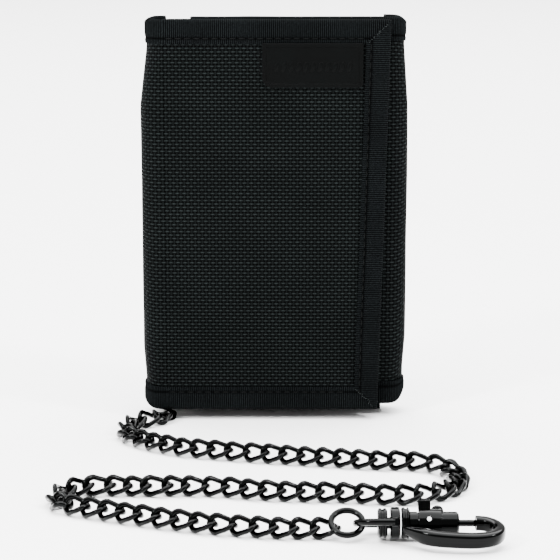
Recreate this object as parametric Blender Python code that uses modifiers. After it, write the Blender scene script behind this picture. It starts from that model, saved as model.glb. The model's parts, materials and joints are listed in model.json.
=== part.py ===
"""Tri-fold travel wallet with a security chain and a turn-and-lock snap clip.

Units are metres, +Z is up, -Y is the front. The folded wallet stands upright on
its back panel's bottom edge, with the origin at the middle of its footprint.
"""

import math

import bmesh
import bpy
from mathutils import Matrix, Vector

# ---------------------------------------------------------------- driving sizes
WALLET_WIDTH = 0.082
BACK_HEIGHT = 0.126
FLAP_LIFT = 0.0004
FLAP_RISE = 0.001
INNER_LIFT = 0.0007
INNER_RISE = 0.0014
FOLD_REACH = 0.0067
INNER_EDGE_INSET = 0.015
FLAP_EDGE_TOP_INSET = 0.0053
FLAP_EDGE_BOTTOM_INSET = 0.0085
GAP = 0.0003

# Sheet thicknesses, front to back.
TAPE = 0.0005
FLAP_CLOTH = 0.0011
FLAP_BOARD = 0.0006
FLAP_LINING = 0.0004
HOOK_STRIP = 0.001
STRIP_GAP = 0.0004
LOOP_STRIP = 0.001
INNER_CLOTH = 0.0009
INNER_BOARD = 0.0005
INNER_LINING = 0.0004
WINDOW_FRAME = 0.0006
WINDOW_FILM = 0.0003
POCKET_CLEARANCE = 0.0008
POCKET_SHEET = 0.0004
BACK_LINING = 0.0004
NOTE_SPACE = 0.0011
BACK_BOARD = 0.0006
SHIELD = 0.00015
BACK_CLOTH = 0.001
COIN_POCKET_DEPTH = 0.0013
ZIP_TAPE = 0.0004
ZIP_TEETH = 0.0009
SLIDER_PLATE = 0.0008
PULL_THICKNESS = 0.0008

# Trim.
BINDING_WIDTH = 0.0075
LABEL_WIDTH = 0.031
LABEL_HEIGHT = 0.013
LABEL_EDGE_GAP = 0.0009
LABEL_CORNER = 0.003
STRIP_WIDTH = 0.017
STRIP_END_INSET = 0.0195
WINDOW_MARGIN = 0.006
CARD_SLOT_LEFT_INSET = 0.0155
CARD_SLOT_RIGHT_INSET = 0.0013
CARD_SLOT_COUNT = 4
CARD_SLOT_FIRST_DROP = 0.06
CARD_SLOT_STEP = 0.012
COIN_POCKET_SIDE_INSET = 0.0043
COIN_POCKET_BOTTOM = 0.03
COIN_POCKET_DROP = 0.038
COIN_POCKET_WALL = 0.0004
ZIP_TAPE_WIDTH = 0.006
ZIP_TOOTH_WIDTH = 0.0013
ZIP_PITCH = 0.002
SLIDER_LENGTH = 0.007
SLIDER_WIDTH = 0.0056
PULL_LENGTH = 0.017
PULL_WIDTH = 0.004
PULL_NECK_WIDTH = 0.0028
PULL_EYE_RISE = 0.0005
LUG_THICKNESS = 0.0006
LUG_HALF_HEIGHT = 0.0006
SLIDER_REST_INSET = 0.006

# Chain tab, ring and chain.
CHAIN_TAB_INSET = 0.0065
CHAIN_TAB_WIDTH = 0.0056
CHAIN_TAB_THICKNESS = 0.0028
CHAIN_TAB_BOTTOM = 0.0064
CHAIN_TAB_TOP = 0.022
CHAIN_TAB_Y = -0.0045
D_RING_WIRE = 0.0016
D_RING_HALF_WIDTH = 0.0041
D_RING_BAR_Z = 0.0086
D_RING_LOWEST_Z = 0.0023
CHAIN_THICKNESS = 0.003
CHAIN_CENTRE_Z = 0.0016

# Snap clip. Its long axis lies along +X, and its hook leans down to the floor.
CLIP_REACH = 0.0555
CLIP_Y = -0.1235
CLIP_Z = 0.0044
RING_RADIUS = 0.0042
RING_WIRE = 0.0017
RING_TILT = math.radians(36)
RING_OFFSET = Vector((0.0002, 0.0005, 0.0))
EYE_TILT = math.radians(-22)
EYE_RADIUS = 0.0054
EYE_WIRE = 0.0019
YOKE_START = 0.0101
YOKE_LENGTH = 0.002
YOKE_RADIUS = 0.0042
RIVET_HEAD_START = 0.0067
RIVET_HEAD_LENGTH = 0.0026
RIVET_HEAD_RADIUS = 0.0039
RIVET_STEM_RADIUS = 0.0015
RUNNING_GAP = 0.0003
FLANGE_START = 0.013
FLANGE_LENGTH = 0.0021
FLANGE_RADIUS = 0.0041
BARREL_END = 0.0285
BARREL_RADIUS = 0.003
GROOVE_DEPTH = 0.0003
BORE_START = 0.0156
BORE_WALL = 0.0011
MOUTH_WALL = 0.0012
SLEEVE_START = 0.0176
SLEEVE_END = 0.0238
SLEEVE_WALL = 0.0007
SLEEVE_TAB_LENGTH = 0.0034
SLEEVE_TAB_HEIGHT = 0.0023
SLEEVE_TAB_THICKNESS = 0.0009
SLEEVE_TAB_ANGLE = math.radians(64)
SLEEVE_TURN = math.radians(35)
KNOB_ANGLE = math.radians(20)
KNOB_X = 0.023
KNOB_RADIUS = 0.00175
KNOB_THICKNESS = 0.0014
KNOB_NECK_RADIUS = 0.00055
PLUNGER_TRAVEL = 0.0036
PLUNGER_HEAD_START = 0.022
PLUNGER_HEAD_END = 0.0268
PLUNGER_ROD_RADIUS = 0.0009
SPRING_TURNS = 5
SPRING_CLEARANCE = 0.00072
SPRING_WIRE = 0.0004
HOOK_TIP_X = 0.0334
HOOK_REACH = 0.0105
HOOK_END_X = 0.039
HOOK_BAR_WIDTH = 0.0034
HOOK_BAR_HEIGHT = 0.0042

# Route of the chain on the floor, from the D-ring to the clip's ring, with X from the D-ring.
CHAIN_ROUTE = (
    (0.0000, -0.0058), (-0.0001, -0.0095), (-0.0017, -0.0132), (-0.0057, -0.0150),
    (-0.0105, -0.0158), (-0.0145, -0.0188), (-0.0163, -0.0244), (-0.0151, -0.0304),
    (-0.0113, -0.0350), (-0.0035, -0.0398), (0.0070, -0.0444), (0.0180, -0.0472),
    (0.0295, -0.0496), (0.0407, -0.0520), (0.0523, -0.0544), (0.0635, -0.0572),
    (0.0745, -0.0580), (0.0827, -0.0602), (0.0885, -0.0666), (0.0898, -0.0752),
    (0.0865, -0.0838), (0.0785, -0.0896), (0.0675, -0.0914), (0.0545, -0.0892),
    (0.0425, -0.0884), (0.0305, -0.0868), (0.0195, -0.0840), (0.0075, -0.0832),
    (-0.0045, -0.0834), (-0.0155, -0.0830), (-0.0227, -0.0852), (-0.0261, -0.0916),
    (-0.0237, -0.0982), (-0.0165, -0.1014), (-0.0060, -0.1054), (0.0045, -0.1086),
    (0.0155, -0.1122), (0.0260, -0.1152), (0.0380, -0.1190), (0.0503, -0.1224),
)
CHAIN_POINTS = 76

# ------------------------------------------------------------- worked-out sizes
HALF_WIDTH = WALLET_WIDTH / 2
PANEL_EDGE_X = HALF_WIDTH - FOLD_REACH
FLAP_BOTTOM = CHAIN_THICKNESS + FLAP_LIFT
FLAP_TOP = BACK_HEIGHT + FLAP_RISE
INNER_BOTTOM = CHAIN_THICKNESS + INNER_LIFT
INNER_TOP = BACK_HEIGHT + INNER_RISE
INNER_FREE_EDGE_X = -HALF_WIDTH + INNER_EDGE_INSET
FLAP_EDGE_TOP_X = HALF_WIDTH - FLAP_EDGE_TOP_INSET
FLAP_EDGE_BOTTOM_X = HALF_WIDTH - FLAP_EDGE_BOTTOM_INSET
LABEL_RIGHT_X = FLAP_EDGE_TOP_X - BINDING_WIDTH - LABEL_EDGE_GAP
STRIP_RIGHT_X = FLAP_EDGE_BOTTOM_X - BINDING_WIDTH
CARD_SLOT_LEFT_X = -HALF_WIDTH + CARD_SLOT_LEFT_INSET
CARD_SLOT_RIGHT_X = PANEL_EDGE_X - CARD_SLOT_RIGHT_INSET
CARD_SLOT_FIRST_TOP = BACK_HEIGHT - CARD_SLOT_FIRST_DROP
COIN_POCKET_HALF = PANEL_EDGE_X - COIN_POCKET_SIDE_INSET
COIN_POCKET_TOP = BACK_HEIGHT - COIN_POCKET_DROP
CHAIN_TAB_X = -HALF_WIDTH + CHAIN_TAB_INSET
CLIP_ORIGIN = Vector((CHAIN_TAB_X + CLIP_REACH, CLIP_Y, CLIP_Z))
GROOVE_RADIUS = BARREL_RADIUS - GROOVE_DEPTH
BORE_RADIUS = BARREL_RADIUS - BORE_WALL
PLUNGER_HEAD_RADIUS = BORE_RADIUS - RUNNING_GAP
SPRING_RADIUS = BORE_RADIUS - SPRING_CLEARANCE


def stack_depths():
    """Front face of each layer, measured from the wallet's front."""
    depth = {"flap_tape": 0.0}
    depth["flap_cloth"] = TAPE + GAP
    depth["flap_board"] = depth["flap_cloth"] + FLAP_CLOTH + GAP
    depth["flap_lining"] = depth["flap_board"] + FLAP_BOARD + GAP
    depth["hook_strip"] = depth["flap_lining"] + FLAP_LINING + GAP
    depth["loop_strip"] = depth["hook_strip"] + HOOK_STRIP + STRIP_GAP
    depth["inner_cloth"] = depth["loop_strip"] + LOOP_STRIP + GAP
    depth["inner_board"] = depth["inner_cloth"] + INNER_CLOTH + GAP
    depth["inner_lining"] = depth["inner_board"] + INNER_BOARD + GAP
    depth["window_frame"] = depth["inner_lining"] + INNER_LINING + GAP
    depth["pockets"] = depth["window_frame"] + WINDOW_FRAME + POCKET_CLEARANCE
    sheets = CARD_SLOT_COUNT * (POCKET_SHEET + GAP)
    depth["back_lining"] = depth["pockets"] + sheets
    depth["back_board"] = depth["back_lining"] + BACK_LINING + NOTE_SPACE
    depth["shield"] = depth["back_board"] + BACK_BOARD + GAP
    depth["back_cloth"] = depth["shield"] + SHIELD + GAP
    depth["coin_pocket"] = depth["back_cloth"] + BACK_CLOTH + GAP
    depth["zip_teeth"] = depth["coin_pocket"] + ZIP_TAPE + GAP
    depth["slider_plate"] = depth["zip_teeth"] + ZIP_TEETH + GAP
    depth["pull"] = depth["slider_plate"] + SLIDER_PLATE + GAP
    depth["back_end"] = depth["pull"] + PULL_THICKNESS
    return depth


DEPTH = stack_depths()
FRONT_Y = -DEPTH["back_end"] / 2


def layer_y(name):
    """World Y of a layer's front face."""
    return FRONT_Y + DEPTH[name]


FLAP_AXIS = Vector((
    -HALF_WIDTH,
    (layer_y("flap_cloth") + layer_y("back_cloth") + BACK_CLOTH) / 2,
    0.0,
))
INNER_AXIS = Vector((
    HALF_WIDTH - 0.001,
    (layer_y("inner_cloth") + layer_y("back_cloth") + BACK_CLOTH) / 2,
    0.0,
))
ZIP_Z = COIN_POCKET_TOP + ZIP_TAPE_WIDTH + GAP / 2
SLIDER_X = COIN_POCKET_HALF - SLIDER_REST_INSET
HOOK_FAR_SIDE = HOOK_REACH + HOOK_BAR_WIDTH / 2
HOOK_LEAN = (
    math.asin(CLIP_ORIGIN.z / math.hypot(HOOK_FAR_SIDE, HOOK_BAR_HEIGHT / 2))
    - math.atan2(HOOK_BAR_HEIGHT / 2, HOOK_FAR_SIDE)
    - math.radians(0.3)
)
SLEEVE_INNER = GROOVE_RADIUS + RUNNING_GAP
SLEEVE_OUTER = SLEEVE_INNER + SLEEVE_WALL

# -------------------------------------------------------------------- materials
FINISHES = {
    "ballistic_nylon": ((0.013, 0.016, 0.016), 0.82, 0.0),
    "grosgrain_tape": ((0.010, 0.012, 0.013), 0.85, 0.0),
    "lining_cloth": ((0.022, 0.024, 0.025), 0.8, 0.0),
    "stiffener_board": ((0.05, 0.05, 0.05), 0.7, 0.0),
    "shield_foil": ((0.42, 0.43, 0.44), 0.35, 1.0),
    "rubber_label": ((0.012, 0.014, 0.014), 0.55, 0.0),
    "hook_fastener": ((0.012, 0.012, 0.012), 0.75, 0.0),
    "clear_film": ((0.8, 0.82, 0.83), 0.15, 0.0),
    "zip_coil": ((0.015, 0.015, 0.016), 0.45, 0.0),
    "webbing": ((0.012, 0.012, 0.013), 0.8, 0.0),
    "black_nickel": ((0.022, 0.024, 0.025), 0.18, 1.0),
    "spring_steel": ((0.45, 0.45, 0.46), 0.3, 1.0),
}


def finish(name):
    """The Principled material of this name, made once."""
    material = bpy.data.materials.get(name)
    if material:
        return material
    color, roughness, metallic = FINISHES[name]
    material = bpy.data.materials.new(name)
    material.use_nodes = True
    shader = material.node_tree.nodes["Principled BSDF"]
    shader.inputs["Base Color"].default_value = (*color, 1.0)
    shader.inputs["Roughness"].default_value = roughness
    shader.inputs["Metallic"].default_value = metallic
    return material


# ------------------------------------------------------------------ scene set-up
def clear_scene():
    for obj in list(bpy.data.objects):
        bpy.data.objects.remove(obj, do_unlink=True)


def new_collection(name):
    collection = bpy.data.collections.new(name)
    bpy.context.scene.collection.children.link(collection)
    return collection


clear_scene()
PARTS = new_collection("trifold_wallet")
CUTTERS = new_collection("cutters")


def pivot(name, location, rotation=(0.0, 0.0, 0.0)):
    """An empty that stands on a joint's axis."""
    empty = bpy.data.objects.new(name, None)
    empty.empty_display_size = 0.004
    empty.location = location
    empty.rotation_euler = rotation
    PARTS.objects.link(empty)
    return empty


def hang_on(obj, empty):
    """Parent a piece that is placed in world coordinates to an unturned pivot."""
    obj.parent = empty
    obj.matrix_parent_inverse = Matrix.Translation(empty.location).inverted()
    return obj


def add_part(name, data, material):
    obj = bpy.data.objects.new(name, data)
    PARTS.objects.link(obj)
    obj.data.materials.append(finish(material))
    return obj


def smooth(obj, angle=35.0):
    obj.data.shade_smooth()
    obj.data.set_sharp_from_angle(angle=math.radians(angle))
    return obj


# --------------------------------------------------------------- shape helpers
def rounded_outline(corners, steps=5):
    """Corner points (x, y, radius) as an outline whose corners are arcs."""
    points = []
    count = len(corners)
    for index, (x, y, radius) in enumerate(corners):
        here = Vector((x, y))
        if radius <= 0:
            points.append(here)
            continue
        before = Vector(corners[index - 1][:2]) - here
        after = Vector(corners[(index + 1) % count][:2]) - here
        before.normalize()
        after.normalize()
        half = before.angle(after) / 2
        centre = here + (before + after).normalized() * (radius / math.sin(half))
        start = here + before * (radius / math.tan(half)) - centre
        end = here + after * (radius / math.tan(half)) - centre
        first = math.atan2(start.y, start.x)
        sweep = (math.atan2(end.y, end.x) - first + math.pi) % (2 * math.pi) - math.pi
        for step in range(steps + 1):
            angle = first + sweep * step / steps
            points.append(centre + Vector((math.cos(angle), math.sin(angle))) * radius)
    return points


def outline_curve(name, outline, thickness, holes=()):
    """A filled flat outline, extruded both ways to the thickness."""
    curve = bpy.data.curves.new(name, "CURVE")
    curve.dimensions = "2D"
    curve.fill_mode = "BOTH"
    curve.extrude = thickness / 2
    for ring in (outline, *holes):
        spline = curve.splines.new("POLY")
        spline.points.add(len(ring) - 1)
        for point, place in zip(spline.points, ring):
            point.co = (place[0], place[1], 0.0, 1.0)
        spline.use_cyclic_u = True
    return curve


def sheet(name, outline, front_y, thickness, material, holes=()):
    """A flat layer: an outline in X and Z, from front_y back by the thickness."""
    obj = add_part(name, outline_curve(name, outline, thickness, holes), material)
    obj.rotation_euler = (math.radians(90), 0.0, 0.0)
    obj.location = (0.0, front_y + thickness / 2, 0.0)
    return obj


def bar_along_x(name, outline, start_x, length, material):
    """An outline in Y and Z, extruded from start_x along +X."""
    obj = add_part(name, outline_curve(name, outline, length), material)
    obj.rotation_euler = (math.radians(90), 0.0, math.radians(90))
    obj.location = (start_x + length / 2, 0.0, 0.0)
    return obj


def column(name, outline, bottom, height, material):
    """An outline in X and Y, extruded from bottom along +Z."""
    obj = add_part(name, outline_curve(name, outline, height), material)
    obj.location = (0.0, 0.0, bottom + height / 2)
    return obj


def panel_outline(left, right_bottom, right_top, bottom, top, radii=(0, 0, 0, 0)):
    """Corners run bottom left, bottom right, top right, top left."""
    return rounded_outline([
        (left, bottom, radii[0]),
        (right_bottom, bottom, radii[1]),
        (right_top, top, radii[2]),
        (left, top, radii[3]),
    ])


def channel_outline(front, back, edge, opening):
    """A U-shaped tape section: its web at edge, its two legs reaching to opening."""
    inward = 1.0 if opening > edge else -1.0
    web = edge + inward * TAPE
    return [
        (front, edge), (back, edge), (back, opening), (back - TAPE, opening),
        (back - TAPE, web), (front + TAPE, web), (front + TAPE, opening), (front, opening),
    ]


def bindings(prefix, front, back, bottom, top, left, right_bottom, right_top):
    """The top and bottom tapes of a panel."""
    low = channel_outline(front, back, bottom, bottom + BINDING_WIDTH)
    high = channel_outline(front, back, top, top - BINDING_WIDTH)
    lower = bar_along_x(prefix + "_binding_bottom", low, left, right_bottom - left, "grosgrain_tape")
    upper = bar_along_x(prefix + "_binding_top", high, left, right_top - left, "grosgrain_tape")
    return [lower, upper]


def solid_from_bmesh(name, mesh_builder, material):
    data = bpy.data.meshes.new(name)
    shape = bmesh.new()
    mesh_builder(shape)
    bmesh.ops.recalc_face_normals(shape, faces=shape.faces)
    shape.to_mesh(data)
    shape.free()
    return add_part(name, data, material)


def cylinder(shape, start, length, radius, segments=32):
    """A cylinder along local +X in an open bmesh."""
    place = Matrix.Translation((start + length / 2, 0.0, 0.0)) @ Matrix.Rotation(math.radians(90), 4, "Y")
    bmesh.ops.create_cone(
        shape, cap_ends=True, segments=segments,
        radius1=radius, radius2=radius, depth=length, matrix=place,
    )


def block(shape, low, high, turn=0.0):
    """A box between two corners, turned about local X."""
    size = Vector(high) - Vector(low)
    middle = (Vector(high) + Vector(low)) / 2
    place = Matrix.Rotation(turn, 4, "X") @ Matrix.Translation(middle) @ Matrix.Diagonal((*size, 1.0))
    bmesh.ops.create_cube(shape, size=1.0, matrix=place)


def boolean(obj, other, operation):
    """Join or cut with a helper that stays out of the part."""
    if other.name in PARTS.objects:
        PARTS.objects.unlink(other)
        CUTTERS.objects.link(other)
    other.hide_render = True
    other.hide_viewport = True
    other.display_type = "WIRE"
    modifier = obj.modifiers.new(f"{operation.lower()}_{other.name}", "BOOLEAN")
    modifier.operation = operation
    modifier.solver = "EXACT"
    modifier.object = other
    return obj


def helper(name, mesh_builder, parent):
    obj = solid_from_bmesh(name, mesh_builder, "black_nickel")
    obj.parent = parent
    return obj


def bevel(obj, width, segments=2, angle=40.0):
    modifier = obj.modifiers.new("edges", "BEVEL")
    modifier.width = width
    modifier.segments = segments
    modifier.limit_method = "ANGLE"
    modifier.angle_limit = math.radians(angle)
    return obj


def wire(name, points, diameter, material, cyclic=False, resolution=3):
    """A round wire or cord through the points."""
    curve = bpy.data.curves.new(name, "CURVE")
    curve.dimensions = "3D"
    curve.bevel_depth = diameter / 2
    curve.bevel_resolution = resolution
    curve.use_fill_caps = not cyclic
    spline = curve.splines.new("POLY")
    spline.points.add(len(points) - 1)
    for point, place in zip(spline.points, points):
        point.co = (*place, 1.0)
    spline.use_cyclic_u = cyclic
    return add_part(name, curve, material)


def meshed(obj):
    """The same piece as a welded mesh, ready for a Boolean."""
    bpy.context.view_layer.update()
    graph = bpy.context.evaluated_depsgraph_get()
    data = bpy.data.meshes.new_from_object(obj.evaluated_get(graph))
    shape = bmesh.new()
    shape.from_mesh(data)
    bmesh.ops.remove_doubles(shape, verts=shape.verts, dist=1e-6)
    bmesh.ops.recalc_face_normals(shape, faces=shape.faces)
    shape.to_mesh(data)
    shape.free()
    name = obj.name
    solid = bpy.data.objects.new(name + "_mesh", data)
    solid.matrix_world = obj.matrix_world
    PARTS.objects.link(solid)
    bpy.data.objects.remove(obj, do_unlink=True)
    solid.name = name
    return solid


def smooth_route(points, count):
    """Evenly spaced points on a Catmull-Rom curve through the given points."""
    ends = [points[0] * 2 - points[1], *points, points[-1] * 2 - points[-2]]
    fine = []
    for index in range(1, len(ends) - 2):
        a, b, c, d = ends[index - 1:index + 3]
        for step in range(12):
            t = step / 12
            fine.append(0.5 * (
                2 * b + (c - a) * t
                + (2 * a - 5 * b + 4 * c - d) * t ** 2
                + (3 * b - a - 3 * c + d) * t ** 3
            ))
    fine.append(points[-1])
    along = [0.0]
    for before, after in zip(fine, fine[1:]):
        along.append(along[-1] + (after - before).length)
    even = []
    place = 0
    for index in range(count):
        target = along[-1] * index / (count - 1)
        while place < len(along) - 2 and along[place + 1] < target:
            place += 1
        share = (target - along[place]) / (along[place + 1] - along[place])
        even.append(fine[place].lerp(fine[place + 1], min(share, 1.0)))
    return even


def fastener_strip(name, thickness):
    """One half of the hook-and-loop closure, on the layer of the same name."""
    outline = panel_outline(
        STRIP_RIGHT_X - STRIP_WIDTH, STRIP_RIGHT_X, STRIP_RIGHT_X,
        STRIP_END_INSET, BACK_HEIGHT - STRIP_END_INSET,
    )
    return sheet(name, outline, layer_y(name), thickness, "hook_fastener")


# --------------------------------------------------------------------- the flap
def build_flap():
    """The front flap, which folds over everything and hinges at the left fold."""
    hinge = pivot("flap_hinge", FLAP_AXIS)
    left = -PANEL_EDGE_X
    slope = (FLAP_EDGE_TOP_X - FLAP_EDGE_BOTTOM_X) / (FLAP_TOP - FLAP_BOTTOM)

    def edge_at(z, inset):
        return FLAP_EDGE_BOTTOM_X + slope * (z - FLAP_BOTTOM) - inset

    def layer(name, key, thickness, inset, material):
        low = FLAP_BOTTOM + inset
        high = FLAP_TOP - inset
        outline = panel_outline(left, edge_at(low, inset), edge_at(high, inset), low, high)
        return sheet(name, outline, layer_y(key), thickness, material)

    inset = TAPE + GAP
    pieces = [
        layer("flap_cover", "flap_cloth", FLAP_CLOTH, inset, "ballistic_nylon"),
        layer("flap_stiffener", "flap_board", FLAP_BOARD, 0.002, "stiffener_board"),
        layer("flap_lining", "flap_lining", FLAP_LINING, inset, "lining_cloth"),
    ]
    front = layer_y("flap_tape")
    back = layer_y("hook_strip") + TAPE
    pieces += bindings(
        "flap", front, back, FLAP_BOTTOM, FLAP_TOP, left,
        edge_at(FLAP_BOTTOM + BINDING_WIDTH, 0.0), edge_at(FLAP_TOP - BINDING_WIDTH, 0.0),
    )
    pieces.append(flap_edge_binding(front, back, slope, edge_at))
    pieces.append(flap_label(front))
    pieces.append(fastener_strip("hook_strip", HOOK_STRIP))
    for piece in pieces:
        hang_on(piece, hinge)


def flap_edge_binding(front, back, slope, edge_at):
    """The tape on the flap's free edge, which leans with that edge."""
    bottom = FLAP_BOTTOM + BINDING_WIDTH + GAP
    height = FLAP_TOP - FLAP_BOTTOM - 2 * (BINDING_WIDTH + GAP)
    edge = edge_at(bottom + height / 2, 0.0)
    section = [(x, y) for y, x in channel_outline(front, back, edge, edge - BINDING_WIDTH)]
    tape = meshed(column("flap_binding_edge", section, bottom, height, "grosgrain_tape"))
    lean = Matrix.Identity(4)
    lean[0][2] = slope
    tape.data.transform(lean)
    return tape


def flap_label(front):
    """A rubber patch tucked under the top tape."""
    top = FLAP_TOP - BINDING_WIDTH - GAP
    outline = panel_outline(
        LABEL_RIGHT_X - LABEL_WIDTH, LABEL_RIGHT_X, LABEL_RIGHT_X, top - LABEL_HEIGHT, top,
        (LABEL_CORNER, LABEL_CORNER / 2, 0, 0),
    )
    return sheet("flap_label", outline, front, TAPE, "rubber_label")


# -------------------------------------------------------------- the inner panel
def build_inner_panel():
    """The panel folded in from the right, under the flap."""
    hinge = pivot("inner_hinge", INNER_AXIS)
    left = INNER_FREE_EDGE_X
    right = PANEL_EDGE_X

    def layer(name, key, thickness, inset, material):
        outline = panel_outline(left + inset, right, right, INNER_BOTTOM + inset, INNER_TOP - inset)
        return sheet(name, outline, layer_y(key), thickness, material)

    inset = TAPE + GAP
    pieces = [
        layer("inner_cover", "inner_cloth", INNER_CLOTH, inset, "ballistic_nylon"),
        layer("inner_stiffener", "inner_board", INNER_BOARD, 0.002, "stiffener_board"),
        layer("inner_lining", "inner_lining", INNER_LINING, inset, "lining_cloth"),
    ]
    front = layer_y("inner_cloth") - GAP - TAPE
    back = layer_y("window_frame") + TAPE
    pieces += bindings(
        "inner", front, back, INNER_BOTTOM, INNER_TOP, left, right, right,
    )
    edge = [(x, y) for y, x in channel_outline(front, back, left, left + BINDING_WIDTH)]
    bottom = INNER_BOTTOM + BINDING_WIDTH + GAP
    height = INNER_TOP - INNER_BOTTOM - 2 * (BINDING_WIDTH + GAP)
    pieces.append(column("inner_binding_edge", edge, bottom, height, "grosgrain_tape"))
    pieces.append(fastener_strip("loop_strip", LOOP_STRIP))
    pieces += id_window(left + BINDING_WIDTH + GAP, right)
    for piece in pieces:
        hang_on(piece, hinge)


def id_window(left, right):
    """A clear sleeve for an identity card, sewn to the panel's inner face."""
    bottom = INNER_BOTTOM + BINDING_WIDTH + 0.014
    top = INNER_TOP - BINDING_WIDTH - 0.014
    frame = panel_outline(left, right, right, bottom, top)
    margin = WINDOW_MARGIN
    hole = panel_outline(left + margin, right - margin, right - margin, bottom + margin, top - margin)
    film = panel_outline(
        left + margin + GAP, right - margin - GAP, right - margin - GAP,
        bottom + margin + GAP, top - margin - GAP,
    )
    face = layer_y("window_frame")
    return [
        sheet("id_window_frame", frame, face, WINDOW_FRAME, "lining_cloth", [hole[::-1]]),
        sheet("id_window", film, face, WINDOW_FILM, "clear_film"),
    ]


# --------------------------------------------------------------- the back panel
def build_back_panel():
    left = -PANEL_EDGE_X
    right = PANEL_EDGE_X

    def layer(name, key, thickness, inset, material):
        outline = panel_outline(left, right, right, inset, BACK_HEIGHT - inset)
        return sheet(name, outline, layer_y(key), thickness, material)

    inset = TAPE + GAP
    layer("back_lining", "back_lining", BACK_LINING, inset, "lining_cloth")
    layer("back_stiffener", "back_board", BACK_BOARD, 0.002, "stiffener_board")
    layer("shield_layer", "shield", SHIELD, 0.002, "shield_foil")
    layer("back_cover", "back_cloth", BACK_CLOTH, inset, "ballistic_nylon")
    front = layer_y("back_lining") - GAP - TAPE
    back = layer_y("back_cloth") + BACK_CLOTH + GAP + TAPE
    bindings("back", front, back, 0.0, BACK_HEIGHT, left, right, right)
    card_pockets()


def card_pockets():
    """Stepped sheets: the frontmost slot is the lowest."""
    bottom = BINDING_WIDTH + GAP
    for index in range(CARD_SLOT_COUNT):
        front = layer_y("pockets") + index * (POCKET_SHEET + GAP)
        top = CARD_SLOT_FIRST_TOP + index * CARD_SLOT_STEP
        outline = panel_outline(CARD_SLOT_LEFT_X, CARD_SLOT_RIGHT_X, CARD_SLOT_RIGHT_X, bottom, top)
        sheet(f"card_pocket_{index + 1}", outline, front, POCKET_SHEET, "lining_cloth")


def fold_outline(side, front, back, thickness=0.001, steps=14):
    """Half an ellipse of cloth that joins a front sheet to a back sheet."""
    middle = (front + back) / 2
    rise = (back - front) / 2
    outer = []
    inner = []
    for step in range(steps + 1):
        angle = math.pi * step / steps - math.pi / 2
        reach = math.cos(angle) ** 0.75 if step not in (0, steps) else 0.0
        outer.append((side * (PANEL_EDGE_X + GAP + FOLD_REACH * reach - GAP * reach),
                      middle + rise * math.sin(angle)))
        inner.append((side * (PANEL_EDGE_X + GAP + (FOLD_REACH - GAP - thickness) * reach),
                      middle + (rise - thickness) * math.sin(angle)))
    return outer + inner[::-1]


def build_folds():
    """Cloth spines: the left one carries the flap, the right one the inner panel."""
    back = layer_y("back_cloth") + BACK_CLOTH
    left = fold_outline(-1.0, layer_y("flap_cloth"), back)
    column("left_fold", left, FLAP_BOTTOM + GAP, BACK_HEIGHT - FLAP_BOTTOM - GAP, "ballistic_nylon")
    right = fold_outline(1.0, layer_y("inner_cloth"), back)
    column("right_fold", right, INNER_BOTTOM, BACK_HEIGHT + GAP - INNER_BOTTOM, "ballistic_nylon")


# ------------------------------------------------------------------ coin pocket
def build_coin_pocket():
    half = COIN_POCKET_HALF
    face = layer_y("coin_pocket")

    def tray(shape):
        block(shape, (-half, face, COIN_POCKET_BOTTOM), (half, face + COIN_POCKET_DEPTH, COIN_POCKET_TOP))

    def hollow(shape):
        wall = COIN_POCKET_WALL
        block(
            shape,
            (-half + wall, face - 0.001, COIN_POCKET_BOTTOM + wall),
            (half - wall, face + COIN_POCKET_DEPTH - wall, COIN_POCKET_TOP - wall),
        )

    pocket = solid_from_bmesh("coin_pocket_panel", tray, "ballistic_nylon")
    boolean(pocket, helper("coin_pocket_hollow", hollow, None), "DIFFERENCE")
    zip_bottom = COIN_POCKET_TOP + GAP
    zip_top = ZIP_Z + GAP / 2
    for name, low in (("lower", zip_bottom), ("upper", zip_top)):
        high = low + ZIP_TAPE_WIDTH - GAP
        outline = panel_outline(-half, half, half, low, high)
        sheet(f"zip_tape_{name}", outline, face, ZIP_TAPE, "lining_cloth")
    teeth_face = layer_y("zip_teeth")
    zip_row("zip_teeth_lower", ZIP_Z - GAP / 2, -1.0, teeth_face, half)
    zip_row("zip_teeth_upper", ZIP_Z + GAP / 2, 1.0, teeth_face, half)
    for name, side in (("left", -1.0), ("right", 1.0)):
        centre = side * (half - 0.0012)
        outline = panel_outline(
            centre - 0.0008, centre + 0.0008, centre + 0.0008,
            ZIP_Z - ZIP_TOOTH_WIDTH, ZIP_Z + ZIP_TOOTH_WIDTH, (0.0005,) * 4,
        )
        sheet(f"zip_stop_{name}", outline, teeth_face, ZIP_TEETH, "black_nickel")
    build_zip_slider(teeth_face)


def zip_row(name, edge, side, face, half):
    """A coil row: a bar whose inner edge is toothed at the zip's pitch."""
    end = half - 0.0024
    count = int(2 * end / ZIP_PITCH)
    start = -count * ZIP_PITCH / 2
    crest = edge + side * ZIP_PITCH * 0.04
    root = edge + side * ZIP_TOOTH_WIDTH * 0.4
    outer = edge + side * ZIP_TOOTH_WIDTH
    outline = []
    for index in range(count):
        left = start + index * ZIP_PITCH
        outline += [
            (left, root), (left + ZIP_PITCH * 0.2, crest),
            (left + ZIP_PITCH * 0.6, crest), (left + ZIP_PITCH * 0.8, root),
        ]
    outline += [(start + count * ZIP_PITCH, root), (start + count * ZIP_PITCH, outer), (start, outer)]
    if side < 0:
        outline = outline[::-1]
    sheet(name, outline, face, ZIP_TEETH, "zip_coil")


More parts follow.
